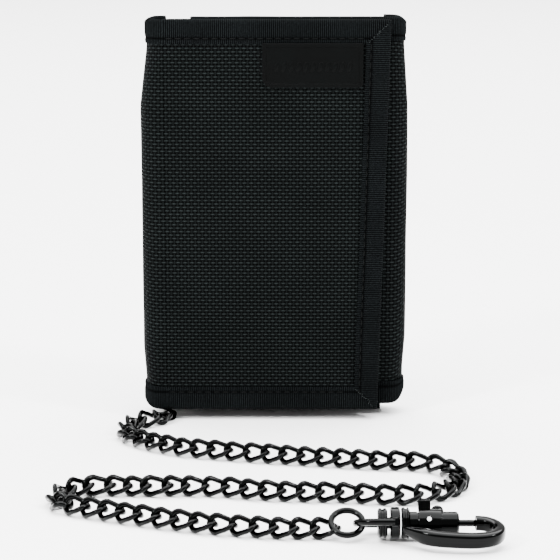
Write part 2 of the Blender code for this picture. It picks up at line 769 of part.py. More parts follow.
def build_zip_slider(teeth_face):
    """The slider straddles the coil rows, and its pull hangs from a pin."""
    start = pivot("slider_start", (SLIDER_X, teeth_face, ZIP_Z))
    plate = layer_y("slider_plate")
    flange_in = ZIP_TOOTH_WIDTH + GAP / 2 + GAP
    half_width = SLIDER_WIDTH / 2

    def saddle(shape):
        low_x = SLIDER_X - SLIDER_LENGTH / 2
        high_x = SLIDER_X + SLIDER_LENGTH / 2
        for side in (-1.0, 1.0):
            near, far = sorted((side * flange_in, side * half_width))
            block(shape, (low_x, teeth_face, ZIP_Z + near), (high_x, plate + SLIDER_PLATE / 2, ZIP_Z + far))

    def top(shape):
        low_x = SLIDER_X - SLIDER_LENGTH / 2
        high_x = SLIDER_X + SLIDER_LENGTH / 2
        block(shape, (low_x, plate, ZIP_Z - half_width), (high_x, plate + SLIDER_PLATE, ZIP_Z + half_width))

    def lugs(shape):
        inner = PULL_NECK_WIDTH / 2 + GAP
        high_y = layer_y("pull") + PULL_THICKNESS - GAP / 2
        for side in (-1.0, 1.0):
            near, far = sorted((SLIDER_X + side * inner, SLIDER_X + side * (inner + LUG_THICKNESS)))
            block(
                shape,
                (near, plate + SLIDER_PLATE / 2, ZIP_Z - LUG_HALF_HEIGHT),
                (far, high_y, ZIP_Z + LUG_HALF_HEIGHT),
            )

    slider = solid_from_bmesh("zip_slider", top, "black_nickel")
    boolean(slider, helper("slider_flanges", saddle, None), "UNION")
    boolean(slider, helper("slider_lugs", lugs, None), "UNION")
    hang_on(slider, start)
    swing = pivot("pull_pivot", (SLIDER_X, layer_y("pull") + PULL_THICKNESS / 2, ZIP_Z))
    half_pull = PULL_WIDTH / 2
    outline = rounded_outline([
        (SLIDER_X - half_pull, ZIP_Z - PULL_LENGTH, half_pull * 0.9),
        (SLIDER_X + half_pull, ZIP_Z - PULL_LENGTH, half_pull * 0.9),
        (SLIDER_X + PULL_NECK_WIDTH / 2, ZIP_Z + PULL_EYE_RISE, 0.0004),
        (SLIDER_X - PULL_NECK_WIDTH / 2, ZIP_Z + PULL_EYE_RISE, 0.0004),
    ])
    grip = [
        Vector((SLIDER_X + 0.0009 * math.cos(math.radians(angle)),
                ZIP_Z - PULL_LENGTH + 0.0028 + 0.0009 * math.sin(math.radians(angle))))
        for angle in range(0, -360, -45)
    ]
    pull = sheet("zip_pull", outline, layer_y("pull"), PULL_THICKNESS, "black_nickel", [grip])
    hang_on(pull, swing)


# ------------------------------------------------------------- chain and its tab
def build_chain_tab():
    """A webbing loop sewn to the lining, which holds the D-ring's bar."""
    front = CHAIN_TAB_Y - CHAIN_TAB_THICKNESS / 2
    back = CHAIN_TAB_Y + CHAIN_TAB_THICKNESS / 2
    anchor = layer_y("back_lining") - GAP
    strap = 0.0012
    outline = [
        (front, CHAIN_TAB_BOTTOM), (back, CHAIN_TAB_BOTTOM),
        (back, CHAIN_TAB_TOP - strap), (anchor, CHAIN_TAB_TOP - strap),
        (anchor, CHAIN_TAB_TOP), (front, CHAIN_TAB_TOP),
    ]
    left = CHAIN_TAB_X - CHAIN_TAB_WIDTH / 2
    tab = meshed(bar_along_x("chain_tab", outline, left, CHAIN_TAB_WIDTH, "webbing"))

    def channel(shape):
        cylinder(shape, left - 0.002, CHAIN_TAB_WIDTH + 0.004, D_RING_WIRE / 2 + GAP, 16)

    hole = helper("chain_tab_hole", channel, None)
    hole.location = (0.0, CHAIN_TAB_Y, D_RING_BAR_Z)
    boolean(tab, hole, "DIFFERENCE")
    hinge = pivot("d_ring_pivot", (CHAIN_TAB_X, CHAIN_TAB_Y, D_RING_BAR_Z))
    drop = D_RING_BAR_Z - D_RING_LOWEST_Z
    points = []
    for step in range(17):
        angle = math.pi * step / 16
        points.append(Vector((
            CHAIN_TAB_X + D_RING_HALF_WIDTH * math.cos(angle),
            CHAIN_TAB_Y,
            D_RING_BAR_Z - drop * math.sin(angle) ** 0.8 if 0 < step < 16 else D_RING_BAR_Z,
        )))
    points += [Vector((CHAIN_TAB_X - D_RING_HALF_WIDTH * share, CHAIN_TAB_Y, D_RING_BAR_Z))
               for share in (0.5, 0.0, -0.5)]
    ring = wire("d_ring", points, D_RING_WIRE, "black_nickel", cyclic=True, resolution=2)
    hang_on(ring, hinge)


def build_chain():
    points = [Vector((CHAIN_TAB_X + x, y, CHAIN_CENTRE_Z)) for x, y in CHAIN_ROUTE]
    wire("chain_run", smooth_route(points, CHAIN_POINTS), CHAIN_THICKNESS, "black_nickel", resolution=2)


# -------------------------------------------------------------------- the clip
def build_clip():
    build_end_ring()
    build_swivel_eye()
    turn = pivot("clip_swivel", CLIP_ORIGIN, (HOOK_LEAN, 0.0, 0.0))
    build_rivet(turn)
    build_hook_body(turn)
    build_plunger(turn)
    build_lock_sleeve(turn)


def build_end_ring():
    lift = RING_RADIUS * math.sin(RING_TILT) + RING_WIRE / 2 + 0.00005
    points = []
    for step in range(28):
        angle = 2 * math.pi * step / 28
        points.append(Vector((RING_RADIUS * math.cos(angle), RING_RADIUS * math.sin(angle), 0.0)))
    ring = wire("end_ring", points, RING_WIRE, "black_nickel", cyclic=True, resolution=3)
    ring.rotation_euler = (RING_TILT, 0.0, 0.0)
    ring.location = (CLIP_ORIGIN.x + RING_OFFSET.x, CLIP_ORIGIN.y + RING_OFFSET.y, lift)


def build_swivel_eye():
    """A U-shaped bow whose legs end in a round yoke."""
    bend = EYE_WIRE / 2 + EYE_RADIUS
    middle = YOKE_START + YOKE_LENGTH / 2
    points = [Vector((middle, -EYE_RADIUS, 0.0))]
    for step in range(17):
        angle = -math.pi / 2 - math.pi * step / 16
        points.append(Vector((bend + EYE_RADIUS * math.cos(angle), EYE_RADIUS * math.sin(angle), 0.0)))
    points.append(Vector((middle, EYE_RADIUS, 0.0)))
    eye = meshed(wire("swivel_eye", points, EYE_WIRE, "black_nickel", resolution=3))
    eye.location = CLIP_ORIGIN
    eye.rotation_euler = (EYE_TILT, 0.0, 0.0)

    def yoke(shape):
        cylinder(shape, YOKE_START, YOKE_LENGTH, YOKE_RADIUS)

    def arms(shape):
        reach = EYE_RADIUS + EYE_WIRE * 0.3
        block(shape, (YOKE_START, -reach, -0.0013), (YOKE_START + YOKE_LENGTH, reach, 0.0013))

    def stem_hole(shape):
        cylinder(shape, YOKE_START - 0.002, YOKE_LENGTH + 0.004, RIVET_STEM_RADIUS + RUNNING_GAP, 24)

    boolean(eye, helper("eye_arms", arms, eye), "UNION")
    boolean(eye, helper("eye_yoke", yoke, eye), "UNION")
    boolean(eye, helper("eye_hole", stem_hole, eye), "DIFFERENCE")


def build_rivet(parent):
    def stem(shape):
        start = RIVET_HEAD_START + RIVET_HEAD_LENGTH / 2
        cylinder(shape, start, FLANGE_START - GAP - start, RIVET_STEM_RADIUS, 24)

    def head(shape):
        cylinder(shape, RIVET_HEAD_START, RIVET_HEAD_LENGTH, RIVET_HEAD_RADIUS)

    rivet = solid_from_bmesh("swivel_rivet", head, "black_nickel")
    rivet.parent = parent
    bevel(rivet, 0.0004)
    boolean(rivet, helper("rivet_stem", stem, parent), "UNION")
    smooth(rivet)


def hook_centreline():
    """Points of the J-shaped bar in the clip's own plane, tip last."""
    key = [
        (FLANGE_START + 0.0012, -FLANGE_RADIUS * 0.86), (FLANGE_START + 0.0045, -HOOK_REACH * 0.66),
        (BARREL_END - 0.007, -HOOK_REACH * 0.88), (BARREL_END - 0.0005, -HOOK_REACH * 0.99),
        (HOOK_TIP_X, -HOOK_REACH), (HOOK_END_X - 0.0018, -HOOK_REACH * 0.85),
        (HOOK_END_X, -HOOK_REACH * 0.55), (HOOK_END_X - 0.0008, -HOOK_REACH * 0.26),
        (HOOK_END_X - 0.003, -HOOK_REACH * 0.06), (HOOK_TIP_X + 0.0008, 0.0), (HOOK_TIP_X, 0.0),
    ]
    return smooth_route([Vector((x, y, 0.0)) for x, y in key], 34)


def hook_outline():
    line = hook_centreline()
    outer = []
    inner = []
    for index, point in enumerate(line):
        before = line[max(index - 1, 0)]
        after = line[min(index + 1, len(line) - 1)]
        ahead = (after - before).normalized()
        across = Vector((ahead.y, -ahead.x, 0.0))
        half = HOOK_BAR_WIDTH / 2 * (1.0 - 0.12 * index / len(line))
        outer.append(point + across * half)
        inner.append(point - across * half)
    return [(p.x, p.y) for p in outer + inner[::-1]]


def build_hook_body(parent):
    """Flange, barrel and hook in one casting, with a bore and a knob slot."""
    curve = outline_curve("hook_body", hook_outline(), HOOK_BAR_HEIGHT)
    bar = meshed(add_part("hook_body", curve, "black_nickel"))
    bar.parent = parent
    bevel(bar, 0.0007)

    def flange(shape):
        cylinder(shape, FLANGE_START, FLANGE_LENGTH, FLANGE_RADIUS)

    def barrel(shape):
        cylinder(shape, FLANGE_START + FLANGE_LENGTH / 2, BARREL_END - FLANGE_START - FLANGE_LENGTH / 2,
                 BARREL_RADIUS)

    def web(shape):
        block(shape, (SLEEVE_START - 0.0025, -HOOK_REACH * 0.62, -0.0012), (SLEEVE_START - 0.0008, 0.0, 0.0012))

    def groove(shape):
        cylinder(shape, SLEEVE_START - RUNNING_GAP, SLEEVE_END - SLEEVE_START + 2 * RUNNING_GAP,
                 SLEEVE_OUTER + RUNNING_GAP)

    def core(shape):
        cylinder(shape, SLEEVE_START - 0.001, SLEEVE_END - SLEEVE_START + 0.002, GROOVE_RADIUS)

    def bore(shape):
        cylinder(shape, BORE_START, BARREL_END - MOUTH_WALL - BORE_START, BORE_RADIUS, 24)

    def mouth(shape):
        cylinder(shape, BARREL_END - MOUTH_WALL - 0.001, MOUTH_WALL + 0.002,
                 PLUNGER_ROD_RADIUS + RUNNING_GAP, 20)

    def knob_slot(shape):
        low = KNOB_X - PLUNGER_TRAVEL - KNOB_NECK_RADIUS - RUNNING_GAP
        high = KNOB_X + KNOB_NECK_RADIUS + RUNNING_GAP
        half = KNOB_NECK_RADIUS + RUNNING_GAP
        block(shape, (low, 0.0, -half), (high, BARREL_RADIUS + 0.002, half), KNOB_ANGLE)

    boolean(bar, helper("hook_flange", flange, parent), "UNION")
    boolean(bar, helper("hook_barrel", barrel, parent), "UNION")
    boolean(bar, helper("hook_web", web, parent), "UNION")
    boolean(bar, helper("sleeve_groove", groove, parent), "DIFFERENCE")
    boolean(bar, helper("groove_core", core, parent), "UNION")
    boolean(bar, helper("plunger_bore", bore, parent), "DIFFERENCE")
    boolean(bar, helper("rod_mouth", mouth, parent), "DIFFERENCE")
    boolean(bar, helper("knob_slot", knob_slot, parent), "DIFFERENCE")
    smooth(bar)


def build_plunger(parent):
    """Gate rod with its head in the bore, the thumb knob, and the return spring."""
    slide = pivot("plunger_rest", (0.0, 0.0, 0.0))
    slide.parent = parent

    def head(shape):
        cylinder(shape, PLUNGER_HEAD_START, PLUNGER_HEAD_END - PLUNGER_HEAD_START, PLUNGER_HEAD_RADIUS, 24)

    def rod(shape):
        start = (PLUNGER_HEAD_START + PLUNGER_HEAD_END) / 2
        cylinder(shape, start, HOOK_TIP_X - GAP - start, PLUNGER_ROD_RADIUS, 20)

    gate = solid_from_bmesh("gate_plunger", head, "black_nickel")
    gate.parent = slide
    boolean(gate, helper("plunger_rod", rod, slide), "UNION")
    smooth(gate)

    def knob(shape):
        base = SLEEVE_OUTER + RUNNING_GAP
        place = Matrix.Rotation(math.radians(-90), 4, "X")
        lift = Matrix.Translation((KNOB_X, base + KNOB_THICKNESS / 2, 0.0))
        bmesh.ops.create_cone(
            shape, cap_ends=True, segments=24, radius1=KNOB_RADIUS, radius2=KNOB_RADIUS,
            depth=KNOB_THICKNESS, matrix=Matrix.Rotation(KNOB_ANGLE, 4, "X") @ lift @ place,
        )

    def neck(shape):
        low = PLUNGER_HEAD_RADIUS + GAP
        high = SLEEVE_OUTER + RUNNING_GAP + KNOB_THICKNESS / 2
        place = Matrix.Rotation(math.radians(-90), 4, "X")
        lift = Matrix.Translation((KNOB_X, (low + high) / 2, 0.0))
        bmesh.ops.create_cone(
            shape, cap_ends=True, segments=16, radius1=KNOB_NECK_RADIUS, radius2=KNOB_NECK_RADIUS,
            depth=high - low, matrix=Matrix.Rotation(KNOB_ANGLE, 4, "X") @ lift @ place,
        )

    button = solid_from_bmesh("plunger_knob", knob, "black_nickel")
    button.parent = slide
    bevel(button, 0.0004)
    boolean(button, helper("knob_neck", neck, slide), "UNION")
    smooth(button)
    build_spring(parent)


def build_spring(parent):
    start = BORE_START + GAP + SPRING_WIRE / 2
    end = PLUNGER_HEAD_START - GAP - SPRING_WIRE / 2
    sides = 10
    points = []
    for step in range(SPRING_TURNS * sides + 1):
        share = step / (SPRING_TURNS * sides)
        angle = 2 * math.pi * SPRING_TURNS * share
        points.append(Vector((
            start + (end - start) * share, SPRING_RADIUS * math.cos(angle), SPRING_RADIUS * math.sin(angle),
        )))
    spring = wire("plunger_spring", points, SPRING_WIRE, "spring_steel", resolution=0)
    spring.parent = parent


def build_lock_sleeve(parent):
    """A collar that turns on the barrel, with a finger tab and a wide knob window."""
    turn = pivot("lock_turn", (0.0, 0.0, 0.0))
    turn.parent = parent

    def collar(shape):
        cylinder(shape, SLEEVE_START, SLEEVE_END - SLEEVE_START, SLEEVE_OUTER)

    def tab(shape):
        half = SLEEVE_TAB_THICKNESS / 2
        low = SLEEVE_OUTER - SLEEVE_WALL / 2
        high = SLEEVE_OUTER + SLEEVE_TAB_HEIGHT
        block(shape, (SLEEVE_START, low, -half), (SLEEVE_START + SLEEVE_TAB_LENGTH, high, half), SLEEVE_TAB_ANGLE)

    def hole(shape):
        cylinder(shape, SLEEVE_START - 0.001, SLEEVE_END - SLEEVE_START + 0.002, SLEEVE_INNER)

    sleeve = solid_from_bmesh("lock_sleeve", collar, "black_nickel")
    sleeve.parent = turn
    boolean(sleeve, helper("sleeve_tab", tab, turn), "UNION")
    boolean(sleeve, helper("sleeve_hole", hole, turn), "DIFFERENCE")
    boolean(sleeve, knob_window(turn), "DIFFERENCE")
    smooth(sleeve)


def knob_window(parent):
    """A sector-shaped cutter that clears the knob's neck at every turn of the sleeve."""
    clearance = (KNOB_NECK_RADIUS + 2 * RUNNING_GAP) / SLEEVE_INNER
    first = KNOB_ANGLE - SLEEVE_TURN - clearance
    last = KNOB_ANGLE + clearance
    reach = SLEEVE_OUTER * 1.3
    outline = [(0.0, 0.0)]
    for step in range(9):
        angle = first + (last - first) * step / 8
        outline.append((reach * math.cos(angle), reach * math.sin(angle)))
    low = KNOB_X - PLUNGER_TRAVEL - KNOB_NECK_RADIUS - RUNNING_GAP
    cutter = meshed(bar_along_x("knob_window", outline, low, SLEEVE_END + 0.001 - low, "black_nickel"))
    cutter.parent = parent
    return cutter


build_back_panel()
build_folds()
build_coin_pocket()
build_inner_panel()
build_flap()
build_chain_tab()
build_chain()
build_clip()
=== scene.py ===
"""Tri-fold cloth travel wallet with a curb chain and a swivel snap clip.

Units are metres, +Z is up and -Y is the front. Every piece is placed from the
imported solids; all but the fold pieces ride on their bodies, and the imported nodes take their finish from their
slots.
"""

import json
import logging
import math
from collections.abc import Callable, Iterable, Sequence
from dataclasses import dataclass, field
from enum import Enum
from functools import cached_property

import bmesh
import bpy
import numpy as np
from mathutils import Matrix, Vector, noise


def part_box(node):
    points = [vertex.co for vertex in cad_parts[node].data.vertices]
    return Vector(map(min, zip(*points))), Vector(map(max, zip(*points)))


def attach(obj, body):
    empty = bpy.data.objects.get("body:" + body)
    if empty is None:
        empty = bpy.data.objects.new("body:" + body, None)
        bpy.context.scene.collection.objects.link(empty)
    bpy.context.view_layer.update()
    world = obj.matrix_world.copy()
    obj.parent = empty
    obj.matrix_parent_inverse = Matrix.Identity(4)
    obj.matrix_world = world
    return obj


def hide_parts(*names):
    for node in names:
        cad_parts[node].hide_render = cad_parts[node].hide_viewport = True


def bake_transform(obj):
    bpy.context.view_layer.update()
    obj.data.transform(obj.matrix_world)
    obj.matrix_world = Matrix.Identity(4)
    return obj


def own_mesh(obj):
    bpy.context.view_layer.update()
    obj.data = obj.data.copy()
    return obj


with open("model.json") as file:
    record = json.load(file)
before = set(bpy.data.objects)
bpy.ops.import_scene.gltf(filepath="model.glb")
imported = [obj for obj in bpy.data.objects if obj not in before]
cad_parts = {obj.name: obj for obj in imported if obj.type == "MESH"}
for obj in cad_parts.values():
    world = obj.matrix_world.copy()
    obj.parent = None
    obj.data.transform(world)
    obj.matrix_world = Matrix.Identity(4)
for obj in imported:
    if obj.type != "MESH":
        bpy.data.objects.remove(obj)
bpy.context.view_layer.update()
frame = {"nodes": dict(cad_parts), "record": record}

MATH = "ShaderNodeMath"
NOISE = "ShaderNodeTexNoise"
MM = 0.001
LOG = logging.getLogger("wallet")

Point2 = tuple[float, float]
Point3 = tuple[float, float, float]
Place = Callable[[float, float], Point3]


class Slot(Enum):
    """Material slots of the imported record."""

    METAL = "black_metal"
    SPRING = "spring_steel"
    FOIL = "shield_foil"
    NYLON = "woven_nylon"
    TAPE = "ribbed_tape"
    LINING = "lining_cloth"
    BOARD = "stiffener_board"
    RUBBER = "rubber_label"
    FASTENER = "hook_and_loop"
    FILM = "clear_film"
    COIL = "zip_coil"
    WEBBING = "webbing"


# ------------------------------------------------------------------ finishes
def linear(hex_colour: str) -> tuple[float, float, float, float]:
    """Turn an sRGB hex colour into linear light.

    Args:
        hex_colour: Six hex digits after a hash sign.

    Returns:
        Linear red, green, blue and a full alpha.
    """
    parts = [int(hex_colour[i : i + 2], 16) / 255 for i in (1, 3, 5)]
    red, green, blue = (c / 12.92 if c <= 0.04045 else ((c + 0.055) / 1.055) ** 2.4 for c in parts)
    return red, green, blue, 1.0


def add_node(tree: bpy.types.NodeTree, kind: str, inputs: dict | Sequence = (), **settings) -> bpy.types.Node:
    """Add one shader node with its settings and links.

    Args:
        tree: The material's node tree.
        kind: Blender's node type name.
        inputs: What each socket holds, by name or in order: a value, the
            output that feeds it, or a node whose first output feeds it.
        **settings: Properties of the node itself.

    Returns:
        The new node.
    """
    made = tree.nodes.new(kind)
    for name, value in settings.items():
        setattr(made, name, value)
    for socket, value in inputs.items() if isinstance(inputs, dict) else enumerate(inputs):
        if isinstance(value, bpy.types.Node):
            value = value.outputs[0]
        if isinstance(value, bpy.types.NodeSocket):
            tree.links.new(value, made.inputs[socket])
        else:
            made.inputs[socket].default_value = value
    return made


@dataclass(frozen=True)
class Finish:
    """A surface: what it is made of and how that meets the eye."""

    name: str
    colour: str
    roughness: float
    metallic: float = 0.0
    sheen: float = 0.0
    coat: float = 0.0
    specular: float = 0.5

    def shader(self) -> tuple[bpy.types.Material, bpy.types.NodeTree, bpy.types.Node]:
        """Start the material with its fixed values on the shader's own sockets."""
        material = bpy.data.materials.new(self.name)
        material.use_nodes = True
        tree = material.node_tree
        shader = tree.nodes["Principled BSDF"]
        shader.inputs["Base Color"].default_value = linear(self.colour)
        shader.inputs["Roughness"].default_value = self.roughness
        shader.inputs["Metallic"].default_value = self.metallic
        shader.inputs["Sheen Weight"].default_value = self.sheen
        shader.inputs["Sheen Roughness"].default_value = 0.4
        shader.inputs["Specular IOR Level"].default_value = self.specular
        shader.inputs["Coat Weight"].default_value = self.coat
        shader.inputs["Coat Roughness"].default_value = 0.12
        return material, tree, shader

    def material(self) -> bpy.types.Material:
        """Return this finish's material, made once."""
        return bpy.data.materials.get(self.name) or self.build()

    def build(self) -> bpy.types.Material:
        """Build the material; each kind of finish adds its own pattern."""
        return self.shader()[0]


def coordinates(tree: bpy.types.NodeTree, source: str) -> bpy.types.NodeSocket:
    """Return object coordinates, or the cloth's own UV map."""
    if source == "Object":
        return add_node(tree, "ShaderNodeTexCoord").outputs["Object"]
    return add_node(tree, "ShaderNodeUVMap", uv_map="Cloth").outputs["UV"]


@dataclass(frozen=True)
class WovenCloth(Finish):
    """Plain-woven yarns: painted highlights on the floats in brick order over the dark base colour of the gaps."""

    light: str = "#3a3e3f"
    yarn_mm: float = 1.1
    relief_mm: float = 0.25
    wander_mm: float = 0.06

    def build(self) -> bpy.types.Material:
        """Draw both yarn systems from the cloth's own UV map, with painted highlights on the float tops."""
        material, tree, shader = self.shader()
        flat = coordinates(tree, "UV")
        per_metre = 1 / (self.yarn_mm * MM)
        drift = add_node(tree, NOISE, {"Vector": flat, "Scale": 150.0, "Detail": 1.0})
        bend = add_node(tree, "ShaderNodeVectorMath", (drift.outputs["Color"], (self.wander_mm * MM,) * 3, flat),
                        operation="MULTIPLY_ADD")
        split = add_node(tree, "ShaderNodeSeparateXYZ", {"Vector": bend.outputs["Vector"]})
        across = add_node(tree, MATH, (split.outputs["X"], per_metre), operation="MULTIPLY")
        along = add_node(tree, MATH, (split.outputs["Y"], per_metre), operation="MULTIPLY")
        weft = self.yarn(tree, across, along, 1.0, 0.7)
        warp = self.yarn(tree, along, across, -1.0, 0.7)
        crest = self.yarn(tree, across, along, 1.0, 4.5)
        tick = self.yarn(tree, along, across, -1.0, 5.0)
        low_warp = add_node(tree, MATH, (warp, 0.7), operation="MULTIPLY")
        height = add_node(tree, MATH, (weft, low_warp), operation="MAXIMUM")
        fibre = add_node(tree, NOISE, {"Vector": flat, "Scale": 4200.0, "Detail": 2.0}).outputs["Fac"]
        patch = add_node(tree, NOISE, {"Vector": flat, "Scale": 55.0, "Detail": 3.0}).outputs["Fac"]
        wear = add_node(tree, MATH, (patch, 0.7, 0.62), operation="MULTIPLY_ADD")
        faint_tick = add_node(tree, MATH, (tick, 0.35), operation="MULTIPLY")
        # Painted highlight: the light colour goes on the float tops and, faintly, on the warp ticks.
        float_top = add_node(tree, MATH, (crest, faint_tick), operation="MAXIMUM")
        shine = add_node(tree, MATH, (float_top, wear), operation="MULTIPLY")
        speckle = add_node(tree, MATH, (fibre, 0.5, 0.75), operation="MULTIPLY_ADD")
        glint = add_node(tree, MATH, (shine, speckle), operation="MULTIPLY")
        mixed = add_node(tree, "ShaderNodeMix", {0: glint, 6: linear(self.colour), 7: linear(self.light)},
                         data_type="RGBA")
        tree.links.new(mixed.outputs[2], shader.inputs["Base Color"])
        rough = add_node(tree, MATH, (height, -0.2, self.roughness), operation="MULTIPLY_ADD")
        tree.links.new(rough.outputs[0], shader.inputs["Roughness"])
        lift = add_node(tree, MATH, (fibre, 0.12, height), operation="MULTIPLY_ADD")
        bump = add_node(tree, "ShaderNodeBump", {"Height": lift, "Strength": 0.9, "Distance": self.relief_mm * MM})
        tree.links.new(bump.outputs["Normal"], shader.inputs["Normal"])
        return material

    @staticmethod
    def yarn(tree: bpy.types.NodeTree, along, across, sign: float, crest: float) -> bpy.types.Node:
        """Height of one yarn system: a dome across each yarn that dives at every other crossing."""
        fraction = add_node(tree, MATH, (across,), operation="FRACT")
        half_turn = add_node(tree, MATH, (fraction, math.pi), operation="MULTIPLY")
        dome = add_node(tree, MATH, (half_turn,), operation="SINE")
        row = add_node(tree, MATH, (across,), operation="FLOOR")
        centred = add_node(tree, MATH, (along, 0.5), operation="SUBTRACT")
        offset = add_node(tree, MATH, (centred, row), operation="ADD")
        phase = add_node(tree, MATH, (offset, math.pi), operation="MULTIPLY")
        swing = add_node(tree, MATH, (phase,), operation="COSINE")
        wave = add_node(tree, MATH, (swing, 0.5 * sign, 0.5), operation="MULTIPLY_ADD")
        peak = add_node(tree, MATH, (dome, crest), operation="POWER")
        return add_node(tree, MATH, (peak, wave), operation="MULTIPLY")


@dataclass(frozen=True)
class Grosgrain(Finish):
    """Ribbed binding tape: round cords across its width, painted highlights on the cord tops over the dark base
    colour between them, and painted shade along the stitch groove.
    """

    light: str = "#2c3132"
    rib_mm: float = 0.6
    groove_shade_mm: float = 1.8

    def build(self) -> bpy.types.Material:
        """Paint highlights on the ribs along the tape's own length, and painted shade in the stitch groove."""
        material, tree, shader = self.shader()
        flat = coordinates(tree, "UV")
        split = add_node(tree, "ShaderNodeSeparateXYZ", {"Vector": flat})
        # Painted highlight: the light colour goes on the rib tops.
        turn = add_node(tree, MATH, (split.outputs["X"], 2 * math.pi / (self.rib_mm * MM)), operation="MULTIPLY")
        swing = add_node(tree, MATH, (turn,), operation="COSINE")
        swell = add_node(tree, MATH, (swing, 0.5, 0.5), operation="MULTIPLY_ADD")
        rib = add_node(tree, MATH, (swell, 1.8), operation="POWER")
        fuzz = add_node(tree, NOISE, {"Vector": flat, "Scale": 1600.0, "Detail": 2.0}).outputs["Fac"]
        patch = add_node(tree, NOISE, {"Vector": flat, "Scale": 70.0, "Detail": 2.0}).outputs["Fac"]
        wear = add_node(tree, MATH, (patch, 0.8, 0.45), operation="MULTIPLY_ADD")
        # Painted shade: a dark band in the stitch groove, a set distance across the tape.
        off_seam = add_node(tree, MATH, (split.outputs["Y"], 1 / (0.5 * MM), -self.groove_shade_mm / 0.5),
                            operation="MULTIPLY_ADD")
        squared = add_node(tree, MATH, (off_seam, off_seam), operation="MULTIPLY")
        fall = add_node(tree, MATH, (squared, -1.0), operation="MULTIPLY")
        groove_shade_band = add_node(tree, MATH, (fall,), operation="EXPONENT")
        shade = add_node(tree, MATH, (groove_shade_band, -0.85, 1.0), operation="MULTIPLY_ADD")
        fuzzy_rib = add_node(tree, MATH, (rib, fuzz), operation="MULTIPLY")
        worn_shade = add_node(tree, MATH, (wear, shade), operation="MULTIPLY")
        glint = add_node(tree, MATH, (fuzzy_rib, worn_shade), operation="MULTIPLY")
        bright = add_node(tree, MATH, (glint, 1.7), operation="MULTIPLY")
        mixed = add_node(tree, "ShaderNodeMix", {0: bright, 6: linear(self.colour), 7: linear(self.light)},
                         data_type="RGBA")
        tree.links.new(mixed.outputs[2], shader.inputs["Base Color"])
        lift = add_node(tree, MATH, (fuzz, 0.25, rib), operation="MULTIPLY_ADD")
        bump = add_node(tree, "ShaderNodeBump", {"Height": lift, "Strength": 0.7, "Distance": 0.08 * MM})
        tree.links.new(bump.outputs["Normal"], shader.inputs["Normal"])
        return material


@dataclass(frozen=True)
class Grained(Finish):
    """A moulded, cast or coated surface with a fine grain and uneven gloss."""

    light: str = "#303435"
    grain_mm: float = 0.3
    relief_mm: float = 0.02
    gloss_spread: float = 0.12

    def build(self) -> bpy.types.Material:
        """Vary tone, gloss and relief with noise at the grain's size."""
        material, tree, shader = self.shader()
        place = coordinates(tree, "Object")
        grain = add_node(tree, NOISE, {"Vector": place, "Scale": 1 / (self.grain_mm * MM), "Detail": 3.0})
        cloud = add_node(tree, NOISE, {"Vector": place, "Scale": 110.0, "Detail": 2.0}).outputs["Fac"]
        mixed = add_node(tree, "ShaderNodeMix", {0: cloud, 6: linear(self.colour), 7: linear(self.light)},
                         data_type="RGBA")
        tree.links.new(mixed.outputs[2], shader.inputs["Base Color"])
        glossiest = self.roughness - self.gloss_spread / 2
        rough = add_node(tree, MATH, (cloud, self.gloss_spread, glossiest), operation="MULTIPLY_ADD")
        tree.links.new(rough.outputs[0], shader.inputs["Roughness"])
        bump = add_node(tree, "ShaderNodeBump",
                        {"Height": grain.outputs["Fac"], "Strength": 0.6, "Distance": self.relief_mm * MM})
        tree.links.new(bump.outputs["Normal"], shader.inputs["Normal"])
        return material


@dataclass(frozen=True)
class Film(Finish):
    """Clear soft PVC that has yellowed and scuffed a little."""

    def build(self) -> bpy.types.Material:
        """Make it see-through on the shader's own sockets."""
        material, tree, shader = self.shader()
        shader.inputs["Alpha"].default_value = 0.28
        shader.inputs["IOR"].default_value = 1.53
        place = coordinates(tree, "Object")
        scuff = add_node(tree, NOISE, {"Vector": place, "Scale": 300.0, "Detail": 4.0}).outputs["Fac"]
        rough = add_node(tree, MATH, (scuff, 0.25, self.roughness), operation="MULTIPLY_ADD")
        tree.links.new(rough.outputs[0], shader.inputs["Roughness"])
        return material


# Ballistic nylon, 1680 denier: solution-dyed black; the light colour on the float tops is a painted highlight.
NYLON = WovenCloth("ballistic_nylon", "#010101", 0.72, specular=0.008, light="#1b1f1f")
# Polyester grosgrain binding: duller than the nylon, with a soft fuzz; the light colour on the rib tops is a painted
# highlight, and the stitch groove has painted shade.
TAPE = Grosgrain("grosgrain_binding", "#010101", 0.86, specular=0.008, light="#151819")
# Coated polyester lining: thin, close weave with a faint shine; the light colour on the float tops is a painted
# highlight.
LINING = WovenCloth("polyester_lining", "#030404", 0.62, specular=0.06, light="#181b1d",
                    yarn_mm=0.42, relief_mm=0.06, wander_mm=0.01)
# Nylon webbing: heavy warp cords along its length; the light colour on the float tops is a painted highlight.
WEBBING = WovenCloth("nylon_webbing", "#040505", 0.75, specular=0.12, light="#171a1b", yarn_mm=0.7, relief_mm=0.15)
# Thermoplastic rubber: matt with a fine moulded grain.
RUBBER = Grained("moulded_rubber", "#010101", 0.5, specular=0.03, light="#020303", grain_mm=0.22, relief_mm=0.015)
# Black nickel on zinc casting and steel wire: dark mirror under clear lacquer.
BLACK_NICKEL = Grained("black_nickel_plate", "#030303", 0.15, metallic=1.0, coat=0.1, light="#070808",
                       grain_mm=0.5, relief_mm=0.004, gloss_spread=0.1)
# Bonded polyester sewing thread.
THREAD = Grained("sewing_thread", "#010202", 0.65, specular=0.05, light="#050606", grain_mm=0.15, relief_mm=0.03)
# Cut ends of the tape, where loose fibres catch the light.
FRAY = Grained("frayed_tape_fibres", "#0c0e0e", 0.7, specular=0.1, light="#2c3030", grain_mm=0.1, relief_mm=0.01)
# Nylon hook-and-loop tape: bristly and light-eating.
FASTENER = Grained("hook_and_loop_pile", "#040505", 0.92, specular=0.06, light="#141617",
                   grain_mm=0.45, relief_mm=0.5)
